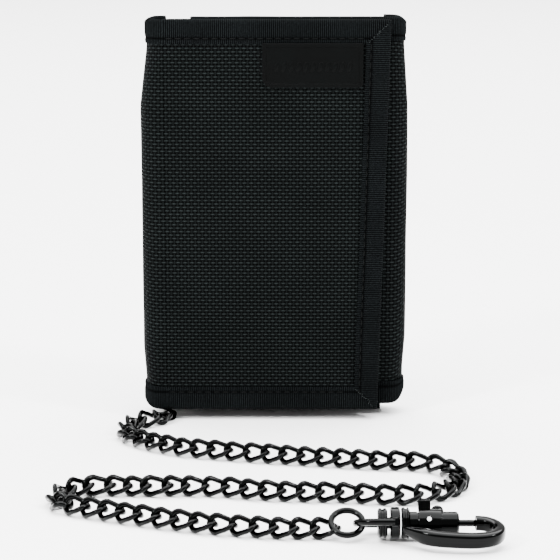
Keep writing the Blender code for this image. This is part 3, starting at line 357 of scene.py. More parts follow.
# Nylon monofilament coil.
COIL = Grained("nylon_coil", "#060707", 0.42, specular=0.3, light="#0f1112", grain_mm=0.4, relief_mm=0.01)
# Greyboard inside the panels.
BOARD = Grained("grey_board", "#5c5c59", 0.85, light="#6b6b67", grain_mm=0.25, relief_mm=0.02)
# Aluminium laminate that blocks card readers.
FOIL = Grained("aluminium_laminate", "#b9bbbc", 0.32, metallic=1.0, light="#c9cbcc", grain_mm=1.5, relief_mm=0.05)
# Spring steel wire, bright drawn.
SPRING_STEEL = Grained("drawn_spring_steel", "#9fa2a4", 0.28, metallic=1.0, light="#b2b5b7")
# Clear soft PVC window.
FILM = Film("clear_pvc", "#dfe3e2", 0.08)
# White pad-printing ink.
INK = Grained("white_ink", "#d9dbdb", 0.5, light="#e8eaea", grain_mm=0.3, relief_mm=0.005)

CARRIED_OVER: dict[Slot, Finish] = {
    Slot.METAL: BLACK_NICKEL, Slot.SPRING: SPRING_STEEL, Slot.FOIL: FOIL, Slot.BOARD: BOARD, Slot.COIL: COIL,
}


# --------------------------------------------------------------- hand tools
def take(obj: bpy.types.Object) -> bpy.types.Object:
    """Leave edit mode, and select only this object."""
    if bpy.context.object and bpy.context.object.mode != "OBJECT":
        bpy.ops.object.mode_set(mode="OBJECT")
    bpy.ops.object.select_all(action="DESELECT")
    obj.select_set(True)
    bpy.context.view_layer.objects.active = obj
    return obj


def added(name: str) -> bpy.types.Object:
    """Name the primitive that was just added."""
    obj = bpy.context.object
    obj.name = name
    obj.data.name = name
    return obj


def pick(obj: bpy.types.Object, kind: str, wanted: Callable[[object], bool]) -> None:
    """Enter edit mode and select the vertices, edges or faces that pass a test.

    Args:
        obj: The mesh object.
        kind: VERT, EDGE or FACE.
        wanted: Says of a bmesh element whether it is selected.
    """
    take(obj)
    bpy.ops.object.mode_set(mode="EDIT")
    bpy.ops.mesh.select_mode(type=kind)
    bpy.ops.mesh.select_all(action="DESELECT")
    shape = bmesh.from_edit_mesh(obj.data)
    for element in {"VERT": shape.verts, "EDGE": shape.edges, "FACE": shape.faces}[kind]:
        element.select_set(bool(wanted(element)))
    shape.select_flush_mode()
    bmesh.update_edit_mesh(obj.data)


def middle(element) -> Vector:
    """Centre of a bmesh edge or face."""
    return sum((vert.co for vert in element.verts), Vector()) / len(element.verts)


def modify(obj: bpy.types.Object, kind: str, **settings) -> bpy.types.Object:
    """Add a modifier with its settings and apply it."""
    take(obj)
    modifier = obj.modifiers.new(kind.lower(), kind)
    for name, value in settings.items():
        setattr(modifier, name, value)
    bpy.ops.object.modifier_apply(modifier=modifier.name)
    return obj


def tidy(obj: bpy.types.Object, angle: float = 35.0, merge: float = 1e-6) -> bpy.types.Object:
    """Merge doubles, turn faces outwards, smooth by angle and settle the place in the mesh."""
    pick(obj, "VERT", lambda vert: True)
    if merge:
        bpy.ops.mesh.remove_doubles(threshold=merge)
        bpy.ops.mesh.normals_make_consistent(inside=False)
    bpy.ops.object.mode_set(mode="OBJECT")
    bpy.ops.object.transform_apply(location=True, rotation=True, scale=True)
    bpy.ops.object.shade_smooth_by_angle(angle=math.radians(angle))
    return obj


def join(pieces: Sequence[bpy.types.Object], name: str) -> bpy.types.Object:
    """Join pieces into one object of this name."""
    take(pieces[0])
    for piece in pieces:
        piece.select_set(True)
    bpy.ops.object.join()
    return added(name)


def dress(obj: bpy.types.Object, finish: Finish, slot: Slot, body: str,
          nodes: Iterable[str] = ()) -> bpy.types.Object:
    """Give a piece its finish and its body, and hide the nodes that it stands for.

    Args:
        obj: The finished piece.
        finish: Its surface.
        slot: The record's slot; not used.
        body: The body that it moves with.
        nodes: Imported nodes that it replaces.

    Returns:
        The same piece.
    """
    obj.data.materials.clear()
    obj.data.materials.append(finish.material())
    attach(obj, body)
    return declare(obj, slot, nodes)


def declare(obj: bpy.types.Object, slot: Slot, nodes: Iterable[str]) -> bpy.types.Object:
    """Hide the imported nodes that a piece replaces, and log its face count."""
    if nodes:
        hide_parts(*nodes)
    LOG.info("%s: %d faces", obj.name, len(obj.data.polygons))
    return obj


def lathe(name: str, profile: Sequence[Point2], steps: int = 40, ring: bool = False) -> bpy.types.Object:
    """Spin a profile of (x, radius) points about the X axis.

    Args:
        name: The piece's name.
        profile: Points along the wall.
        steps: Facets round the axis.
        ring: True where the profile closes on itself.

    Returns:
        A closed turned piece.
    """
    data = bpy.data.meshes.new(name)
    edges = [(i, i + 1) for i in range(len(profile) - 1)]
    if ring:
        edges.append((len(profile) - 1, 0))
    data.from_pydata([(x, 0.0, radius) for x, radius in profile], edges, [])
    obj = bpy.data.objects.new(name, data)
    bpy.context.scene.collection.objects.link(obj)
    pick(obj, "VERT", lambda vert: True)
    bpy.ops.mesh.spin(steps=steps, angle=2 * math.pi, center=(0, 0, 0), axis=(1, 0, 0))
    bpy.ops.object.mode_set(mode="OBJECT")
    return tidy(obj)


def box(name: str, low: Point3, high: Point3, radius: float, segments: int = 3) -> bpy.types.Object:
    """A block between two corners with rounded edges."""
    size = [b - a for a, b in zip(low, high)]
    bpy.ops.mesh.primitive_cube_add(size=1, location=[(a + b) / 2 for a, b in zip(low, high)], scale=size)
    obj = added(name)
    bpy.ops.object.transform_apply(location=True, rotation=True, scale=True)
    pick(obj, "EDGE", lambda edge: True)
    bpy.ops.mesh.bevel(offset=radius, segments=segments, affect="EDGES")
    bpy.ops.object.mode_set(mode="OBJECT")
    return tidy(obj)


def spread_path(points: Sequence[Vector], count: int) -> list[Vector]:
    """Evenly spaced points on a Catmull-Rom curve through the given points."""
    ends = [points[0] * 2 - points[1], *points, points[-1] * 2 - points[-2]]
    fine: list[Vector] = []
    for index in range(1, len(ends) - 2):
        a, b, c, d = ends[index - 1 : index + 3]
        for step in range(12):
            t = step / 12
            fine.append(0.5 * (2 * b + (c - a) * t + (2 * a - 5 * b + 4 * c - d) * t**2
                               + (3 * b - a - 3 * c + d) * t**3))
    fine.append(points[-1])
    place = np.array(fine)
    along = np.concatenate([[0.0], np.cumsum(np.linalg.norm(np.diff(place, axis=0), axis=1))])
    at = np.linspace(0.0, along[-1], count)
    return [Vector(p) for p in np.stack([np.interp(at, along, place[:, k]) for k in range(3)], axis=1)]


# ------------------------------------------------------------------- cloth
def cloth(name: str, columns: int, rows: int, place: Place, chart: Callable[[float, float], Point2],
          thickness: float, edge_radius: float = 0.0) -> bpy.types.Object:
    """Shape a grid of cloth and give it its thickness on the inner side.

    Args:
        name: The piece's name.
        columns: Squares along the first direction.
        rows: Squares along the second.
        place: Turns two 0 to 1 shares into a point of the outer face.
        chart: Turns the same shares into metres on the flat cloth.
        thickness: The cloth's thickness.
        edge_radius: Rounding of its cut edges.

    Returns:
        The closed cloth piece with its UV map.
    """
    bpy.ops.mesh.primitive_grid_add(x_subdivisions=columns, y_subdivisions=rows, size=1)
    obj = added(name)
    shares = [(vert.co.x + 0.5, vert.co.y + 0.5) for vert in obj.data.vertices]
    for vert, (across, up) in zip(obj.data.vertices, shares):
        vert.co = place(across, up)
    flat = np.array([chart(*share) for share in shares])
    while obj.data.uv_layers:
        obj.data.uv_layers.remove(obj.data.uv_layers[0])
    layer = obj.data.uv_layers.new(name="Cloth")
    order = np.empty(len(obj.data.loops), np.int32)
    obj.data.loops.foreach_get("vertex_index", order)
    layer.data.foreach_set("uv", flat[order].astype(np.float32).ravel())
    modify(obj, "SOLIDIFY", thickness=thickness, offset=-1.0)
    if edge_radius:
        modify(obj, "BEVEL", width=edge_radius, segments=2, limit_method="ANGLE", angle_limit=math.radians(60))
    return tidy(obj, 50.0, merge=0.0)


def ease(share: float, width: float) -> float:
    """Rise from 0 at both ends to 1 over the given share of the way."""
    near = min(share, 1 - share) / width
    near = min(max(near, 0.0), 1.0)
    return near * near * (3 - 2 * near)


def ripple(x: float, z: float, size: float, depth: float, seed: float) -> float:
    """Small unevenness of handled cloth, the same on every run."""
    return depth * noise.noise(Vector((x / size + seed, z / size, seed)))


def billow(obj: bpy.types.Object, outward: float, cap: float) -> None:
    """Let a flat cloth belly out between its sewn edges under simulation.

    Args:
        obj: A grid of cloth before it has thickness.
        outward: Direction along Y, -1 or 1.
        cap: The furthest that a point may move.
    """
    rest = np.array([vert.co for vert in obj.data.vertices])
    shape = bmesh.new()
    shape.from_mesh(obj.data)
    sewn = [vert.index for vert in shape.verts if vert.is_boundary]
    shape.free()
    obj.vertex_groups.new(name="sewn").add(sewn, 1.0, "REPLACE")
    modifier = obj.modifiers.new("billow", "CLOTH")
    modifier.settings.quality = 5
    modifier.settings.mass = 0.3
    modifier.settings.vertex_group_mass = "sewn"
    scene = bpy.context.scene
    gravity = tuple(scene.gravity)
    scene.gravity = (0.0, 2.0 * outward, 0.0)
    for step in range(1, 19):
        scene.frame_set(step)
    graph = bpy.context.evaluated_depsgraph_get()
    settled = np.array([vert.co for vert in obj.evaluated_get(graph).data.vertices])
    obj.modifiers.remove(modifier)
    obj.vertex_groups.clear()
    scene.frame_set(1)
    scene.gravity = gravity
    moved = settled - rest
    reach = np.linalg.norm(moved, axis=1).max()
    share = min(1.0, cap / max(reach, 1e-9))
    obj.data.vertices.foreach_set("co", (rest + moved * share).astype(np.float32).ravel())


@dataclass(frozen=True)
class Way:
    """A line in plan that cloth or tape follows, with its outward side."""

    points: np.ndarray
    outward: np.ndarray
    start: float = 0.0

    @cached_property
    def along(self) -> np.ndarray:
        """Distance of each point from the start."""
        return np.concatenate([[0.0], np.cumsum(np.linalg.norm(np.diff(self.points, axis=0), axis=1))])

    @property
    def length(self) -> float:
        """Length of the whole line."""
        return float(self.along[-1])

    def at(self, share: float) -> tuple[float, float, float, float]:
        """Return x, y and the outward direction at a share of the length."""
        target = share * self.length
        values = [np.interp(target, self.along, column)
                  for column in (*self.points.T, *self.outward.T)]
        size = math.hypot(values[2], values[3]) or 1.0
        return values[0], values[1], values[2] / size, values[3] / size


def straight(x_from: float, x_to: float, y: float) -> Way:
    """A line along X that faces the front if it runs to the right, else the back."""
    facing = -1.0 if x_to > x_from else 1.0
    return Way(np.array([[x_from, y], [x_to, y]]), np.array([[0.0, facing]] * 2), start=x_from)


def fold_way(side: float, front: float, back: float, edge: float, reach: float, steps: int = 28) -> Way:
    """Half an ellipse round a fold: from back to front on the left, front to back on the right."""
    points, outward = [], []
    centre, rise = (front + back) / 2, (back - front) / 2
    for step in range(steps + 1):
        angle = math.pi * step / steps - math.pi / 2
        bulge = max(math.cos(angle), 0.0) ** 0.75
        points.append((side * (edge + reach * bulge), centre + rise * math.sin(angle)))
        outward.append((side * math.cos(angle) * rise / max(reach, 1e-6) * 1.1, math.sin(angle)))
    if side < 0:
        points.reverse()
        outward.reverse()
    way = Way(np.array(points), np.array(outward))
    start = -edge - way.length if side < 0 else edge
    return Way(way.points, way.outward, start)


def channel(depth: float, opening: float, edge: float, radius: float, pinch: float, count: int = 36) -> np.ndarray:
    """Section of a tape folded over an edge, as (outward, height) points from one leg to the other.

    Args:
        depth: Outside distance between the two legs.
        opening: Height at which the legs end.
        edge: Height of the folded edge.
        radius: Rounding of the fold.
        pinch: How far the legs press in at their ends.
        count: Points along the section.

    Returns:
        Points of the outer face.
    """
    up = 1.0 if edge > opening else -1.0
    rise = abs(edge - opening)
    groove = pinch + 0.0001
    legs = [(-pinch, 0.0), (-pinch * 0.3, 0.1), (-pinch * 0.5, 0.17), (-groove, 0.23),
            (-pinch * 0.4, 0.3), (0.0, 0.42)]
    raw = [(across, opening + up * rise * share) for across, share in legs]
    for centre, first in ((-radius, 0.0), (-depth + radius, math.pi / 2)):
        for step in range(6):
            angle = first + math.pi / 2 * step / 5
            raw.append((centre + radius * math.cos(angle), edge - up * radius * (1 - math.sin(angle))))
    raw += [(-depth - across, opening + up * rise * share) for across, share in reversed(legs)]
    raw_points = np.array(raw)
    along = np.concatenate([[0.0], np.cumsum(np.linalg.norm(np.diff(raw_points, axis=0), axis=1))])
    at = np.linspace(0.0, along[-1], count)
    return np.stack([np.interp(at, along, raw_points[:, k]) for k in range(2)], axis=1)


def rib(distance: float) -> float:
    """Relief of the tape's ribs at a distance along it."""
    return 0.00005 * math.cos(2 * math.pi * distance / 0.0006)


def binding(name: str, way: Way, section: np.ndarray,
            lift: Callable[[float, float], float] | None = None) -> bpy.types.Object:
    """A ribbed tape along a level line, folded over the cloth's top or bottom edge.

    Args:
        name: The piece's name.
        way: The line of the tape's outer leg in plan.
        section: The folded section, outer leg first.
        lift: Extra height at a share of the way and a height share of the section.

    Returns:
        The tape.
    """
    heights = np.linspace(0.0, 1.0, len(section))
    turned = bool(section[-1, 1] > section[len(section) // 2, 1])
    ordered = section[::-1] if turned else section

    name_seed = 0.1 * (sum(map(ord, name)) % 37)

    def place(share: float, turn: float) -> Point3:
        x, y, out_x, out_y = way.at(share)
        offset = float(np.interp(turn, heights, ordered[:, 0]))
        height = float(np.interp(turn, heights, ordered[:, 1]))
        distance = share * way.length
        offset += rib(distance) if offset > -0.001 else 0.0
        height += ripple(distance, name_seed, 0.012, 0.0001, name_seed)
        if abs(offset) > 0.0004 and not turned:
            height += rib(distance)
        if lift:
            height += lift(share, height)
        return x + out_x * offset, y + out_y * offset, height

    columns = max(16, round(way.length / 0.00015))
    span = float(np.linalg.norm(np.diff(section, axis=0), axis=1).sum())
    return cloth(name, columns, len(section) - 1, place,
                 lambda share, turn: (way.start + share * way.length, (1 - turn if turned else turn) * span), 0.00045)


def edge_binding(name: str, section: np.ndarray, low: Callable[[float], float], high: Callable[[float], float],
                 lean: float, middle_z: float, mirrored: bool) -> bpy.types.Object:
    """A ribbed tape up a panel's free edge, mitred at both ends.

    Args:
        name: The piece's name.
        section: Points (y, x) of the folded section in plan, in order.
        low: Height of the lower end at a place x.
        high: Height of the upper end at a place x.
        lean: Drift of the edge along X per metre of height.
        middle_z: Height at which the section's x values hold.
        mirrored: True where the ordered section starts on the front leg.

    Returns:
        The tape.
    """
    heights = np.linspace(0.0, 1.0, len(section))

    def place(share: float, turn: float) -> Point3:
        y = float(np.interp(turn, heights, section[:, 0]))
        x = float(np.interp(turn, heights, section[:, 1]))
        z = low(x) + share * (high(x) - low(x))
        distance = z
        side = 1.0 if mirrored else -1.0
        front_share = turn if not mirrored else 1 - turn
        if front_share > 0.55:
            y -= rib(distance)
        x += -side * rib(distance) * (0.35 < front_share < 0.65) + ripple(z, turn * 0.0, 0.02, 0.00012, 3.3)
        return x + lean * (z - middle_z), y, z

    def chart(share: float, turn: float) -> Point2:
        x = float(np.interp(turn, heights, section[:, 1]))
        return share * (high(x) - low(x)) + low(x), (turn if mirrored else 1 - turn) * span

    length = high(section[0, 1]) - low(section[0, 1])
    span = float(np.linalg.norm(np.diff(section, axis=0), axis=1).sum())
    return cloth(name, round(length / 0.00015), len(section) - 1, place, chart, 0.00045)


def panel(name: str, x_from: float, x_to: Callable[[float], float], low: float, high: float, y: float,
          thickness: float, crown: float = 0.0, spacing: float = 0.0016, chart_start: float | None = None,
          facing_back: bool = False, simulate: bool = False, seed: float = 1.0) -> bpy.types.Object:
    """A flat sheet of cloth that bellies out a little between its edges.

    Args:
        name: The piece's name.
        x_from: Left edge.
        x_to: Right edge at a height.
        low: Bottom edge.
        high: Top edge.
        y: Place of the outer face.
        thickness: The cloth's thickness.
        crown: How far its middle stands out.
        spacing: Size of a square of the grid.
        chart_start: Flat coordinate of the left edge, where it isn't x.
        facing_back: True where the outer face looks to +Y.
        simulate: True to find the belly by cloth simulation.
        seed: Start of the unevenness.

    Returns:
        The closed sheet.
    """
    outward = 1.0 if facing_back else -1.0
    start = x_from if chart_start is None else chart_start

    def spot(across: float, up: float) -> Point2:
        z = low + (high - low) * up
        right = x_to(z)
        share = 1 - across if facing_back else across
        return x_from + (right - x_from) * share, z

    def place(across: float, up: float) -> Point3:
        x, z = spot(across, up)
        swell = ease(across, 0.4) * ease(up, 0.3)
        settled = 0.0 if simulate else crown * swell
        rough = ripple(x, z, 0.02, 0.00018, seed) * swell if crown else 0.0
        return x, y + outward * (settled + rough), z

    def chart(across: float, up: float) -> Point2:
        x, z = spot(across, up)
        if facing_back:
            return start - (x - x_from), z
        return start + (x - x_from), z

    columns = round(abs(x_to((low + high) / 2) - x_from) / spacing)
    rows = round((high - low) / spacing)
    if simulate:
        return simulated(name, columns, rows, place, chart, thickness, outward, crown)
    return cloth(name, columns, rows, place, chart, thickness, thickness * 0.25)


def simulated(name: str, columns: int, rows: int, place: Place, chart, thickness: float,
              outward: float, cap: float) -> bpy.types.Object:
    """Shape a sheet with billow first, then chart and thicken it at its settled points."""
    bpy.ops.mesh.primitive_grid_add(x_subdivisions=columns, y_subdivisions=rows, size=1)
    trial = added(name + "_trial")
    shares = [(vert.co.x + 0.5, vert.co.y + 0.5) for vert in trial.data.vertices]
    for vert, share in zip(trial.data.vertices, shares):
        vert.co = place(*share)
    billow(trial, outward, cap)
    settled = {(round(a * columns), round(b * rows)): tuple(vert.co)
               for vert, (a, b) in zip(trial.data.vertices, shares)}
    bpy.data.objects.remove(trial)
    return cloth(name, columns, rows, lambda a, b: settled[round(a * columns), round(b * rows)],
                 chart, thickness, thickness * 0.25)


def stitches(name: str, lines: Sequence[tuple[Point3, Point3]], normal: Point3, body: str,
             length: float = 0.0021, gap: float = 0.0007) -> bpy.types.Object:
    """Sewn lines: one stitch is modelled and copied along each line.

    Args:
        name: The piece's name.
        lines: Start and end of each sewn line.
        normal: Direction out of the cloth.
        body: The body that the cloth moves with.
        length: Length of one stitch.
        gap: Cloth between two stitches.

    Returns:
        All the stitches as one piece.
    """
    bpy.ops.mesh.primitive_uv_sphere_add(segments=6, ring_count=4, radius=1.0)
    single = added(name + "_single")
    model = np.array([vert.co for vert in single.data.vertices])
    faces = [tuple(face.vertices) for face in single.data.polygons]
    bpy.data.objects.remove(single)
    points, polygons = [], []
    out = Vector(normal)
    for first, last in lines:
        start, end = Vector(first), Vector(last)
        run = end - start
        ahead = run.normalized()
        aside = ahead.cross(out).normalized()
        frame_of = np.array([ahead * length / 2, aside * 0.0002, out * 0.00016])
        for index in range(int(run.length / (length + gap))):
            centre = start + ahead * ((index + 0.5) * (length + gap))
            base = len(points)
            points += (model[:, [2, 1, 0]] @ frame_of + np.array(centre)).tolist()
            polygons += [tuple(base + corner for corner in face) for face in faces]
    data = bpy.data.meshes.new(name)
    data.from_pydata(points, [], polygons)
    obj = bpy.data.objects.new(name, data)
    bpy.context.scene.collection.objects.link(obj)
    tidy(obj, 60.0, merge=1e-7)
    return dress(obj, THREAD, Slot.TAPE, body)


# ------------------------------------------------------------------- studio
@dataclass
class Studio:
    """Camera, floor and soft lights."""

    camera_place: Point3 = (0.00172, -0.610, 0.1731)
    pitch_deg: float = 12.0
    lens_mm: float = 125.4
    floor_size: float = 12.0

    def build(self) -> None:
        """Set up the view and the light."""
        bpy.ops.object.camera_add(location=self.camera_place, rotation=(math.radians(90 - self.pitch_deg), 0, 0))
        camera = bpy.context.object
        camera.name = "studio_camera"
        camera.data.lens = self.lens_mm
        camera.data.sensor_width = 36.0
        camera.data.clip_end = 50.0
        bpy.context.scene.camera = camera
        bpy.ops.mesh.primitive_plane_add(size=self.floor_size)
        floor = added("studio_floor")
        floor.data.materials.append(self.paper())
        world = bpy.data.worlds.new("studio_world")
        world.use_nodes = True
        world.node_tree.nodes["Background"].inputs["Color"].default_value = (1.0, 1.0, 1.0, 1.0)
        world.node_tree.nodes["Background"].inputs["Strength"].default_value = 0.9
        bpy.context.scene.world = world
        self.lamp("top_softbox", (0.0, 0.5, 2.4), (0.0, 0.5, 0.0), 4.0, 620.0)
        self.lamp("left_softbox", (-0.7, -0.65, 0.65), (0.0, -0.02, 0.05), 0.15, 16.0)
        self.lamp("right_softbox", (0.75, -0.4, 0.7), (0.0, -0.02, 0.05), 0.12, 11.0)

    def paper(self) -> bpy.types.Material:
        """Seamless white paper with the faintest tooth."""
        material, tree, shader = Finish("studio_paper", "#fafafa", 0.7).shader()
        tooth = add_node(tree, NOISE, {"Scale": 900.0, "Vector": coordinates(tree, "Object")})
        bump = add_node(tree, "ShaderNodeBump",
                        {"Height": tooth.outputs["Fac"], "Strength": 0.05, "Distance": 0.0001})
        tree.links.new(bump.outputs["Normal"], shader.inputs["Normal"])
        return material

    @staticmethod
    def lamp(name: str, place: Point3, aim: Point3, size: float, power: float) -> None:
        """Add one square softbox that faces a point."""
        bpy.ops.object.light_add(type="AREA", location=place)
        light = bpy.context.object
        light.name = name
        light.data.size = size
        light.data.energy = power
        light.rotation_euler = (Vector(aim) - Vector(place)).to_track_quat("-Z", "Y").to_euler()


# -------------------------------------------------------------------- chain
@dataclass
class Chain:
    """Twisted curb chain that lies in three rows on the floor."""

    route: tuple[Point2, ...] = (
        (-0.0345, -0.0058), (-0.0346, -0.0100), (-0.0362, -0.0145), (-0.0390, -0.0172),
        (-0.0425, -0.0195), (-0.0450, -0.0235), (-0.0459, -0.0290), (-0.0446, -0.0348),
        (-0.0410, -0.0395), (-0.0355, -0.0442), (-0.0270, -0.0492), (-0.0165, -0.0525),
        (-0.0050, -0.0552), (0.0062, -0.0576), (0.0178, -0.0598), (0.0290, -0.0622),
        (0.0400, -0.0632), (0.0470, -0.0655), (0.0516, -0.0715), (0.0526, -0.0795),
        (0.0496, -0.0872), (0.0430, -0.0925), (0.0330, -0.0946), (0.0200, -0.0925),
        (0.0080, -0.0917), (-0.0040, -0.0901), (-0.0150, -0.0873), (-0.0270, -0.0865),
        (-0.0390, -0.0867), (-0.0500, -0.0863), (-0.0570, -0.0885), (-0.0600, -0.0948),
        (-0.0576, -0.1014), (-0.0510, -0.1050), (-0.0405, -0.1098), (-0.0300, -0.1140),
        (-0.0190, -0.1178), (-0.0085, -0.1204), (0.0030, -0.1222), (0.0163, -0.1222),
    )
    centre_z: float = 0.0026
    pitch: float = 0.0054
    wire: float = 0.00165
    half_width: float = 0.00245
    half_length: float = 0.0035
    twist_deg: float = -115.0
    roll_deg: float = 33.0
    jump_links: tuple[Point2, ...] = ((-0.0310, -0.0832), (-0.0490, -0.0830))
    jump_scale: float = 1.16
    tucked_y: float = -0.013

    def link(self) -> tuple[np.ndarray, list[tuple[int, ...]]]:
        """Model one link: a ring drawn out to an oval and twisted along its length."""
        bpy.ops.mesh.primitive_torus_add(major_segments=26, minor_segments=10, major_radius=self.half_width,
                                         minor_radius=self.wire / 2)
        obj = added("chain_link")
        stretch = self.half_length - self.half_width
        for side in (-1.0, 1.0):
            pick(obj, "VERT", lambda vert, side=side: vert.co.x * side > self.wire * 0.05)
            bpy.ops.transform.translate(value=(side * stretch, 0, 0))
        bpy.ops.object.mode_set(mode="OBJECT")
        modify(obj, "SIMPLE_DEFORM", deform_method="TWIST", deform_axis="X", angle=math.radians(self.twist_deg))
        points = np.array([vert.co for vert in obj.data.vertices])
        faces = [tuple(face.vertices) for face in obj.data.polygons]
        bpy.data.objects.remove(obj)
        return points, faces

    def build(self) -> tuple[bpy.types.Object, list[Vector]]:
        """Copy the link along the route and make the run one piece."""
        fine = spread_path([Vector((x, y, self.centre_z)) for x, y in self.route], 800)
        length = sum((b - a).length for a, b in zip(fine, fine[1:]))
        count = round((length - self.pitch * 0.3) / self.pitch)
        model, faces = self.link()
        jumps = [min(range(count), key=lambda i, p=p: (fine[self.index(i, count)].xy - Vector(p)).length)
                 for p in self.jump_links]
        points, polygons = [], []
        for number in range(count):
            place = self.index(number, count)
            ahead = (fine[min(place + 4, 799)] - fine[max(place - 4, 0)]).normalized()
            aside = Vector((0, 0, 1)).cross(ahead).normalized()
            scale = self.jump_scale if number in jumps else 1.0
            jitter = noise.noise(Vector((number * 1.7, 0.3, 0.9)))
            roll = math.radians(self.roll_deg) * aside.y + math.radians(7) * jitter
            turn = Matrix.Rotation(roll, 3, "X") @ Matrix.Rotation(math.radians(4) * jitter, 3, "Z")
            basis = np.array([ahead, aside, Vector((0, 0, 1))])
            shaped = model @ np.array(turn).T * np.array([scale, scale, 1.0])
            placed = shaped @ basis + np.array(fine[place])
            if fine[place].y > self.tucked_y:
                placed[:, 2] *= 0.5
            placed[:, 2] += 0.00004 - placed[:, 2].min()
            base = len(points)
            points += placed.tolist()
            polygons += [tuple(base + corner for corner in face) for face in faces]
        data = bpy.data.meshes.new("chain_links")
        data.from_pydata(points, [], polygons)
        obj = bpy.data.objects.new("chain_links", data)
        bpy.context.scene.collection.objects.link(obj)
        tidy(obj, 80.0, merge=1e-7)
        dress(obj, BLACK_NICKEL, Slot.METAL, "root", ["chain_run"])
        return obj, fine

    @staticmethod
    def index(number: int, count: int) -> int:
        """Point of the fine route at a link's middle."""
        return round((number + 0.5) / count * 799)


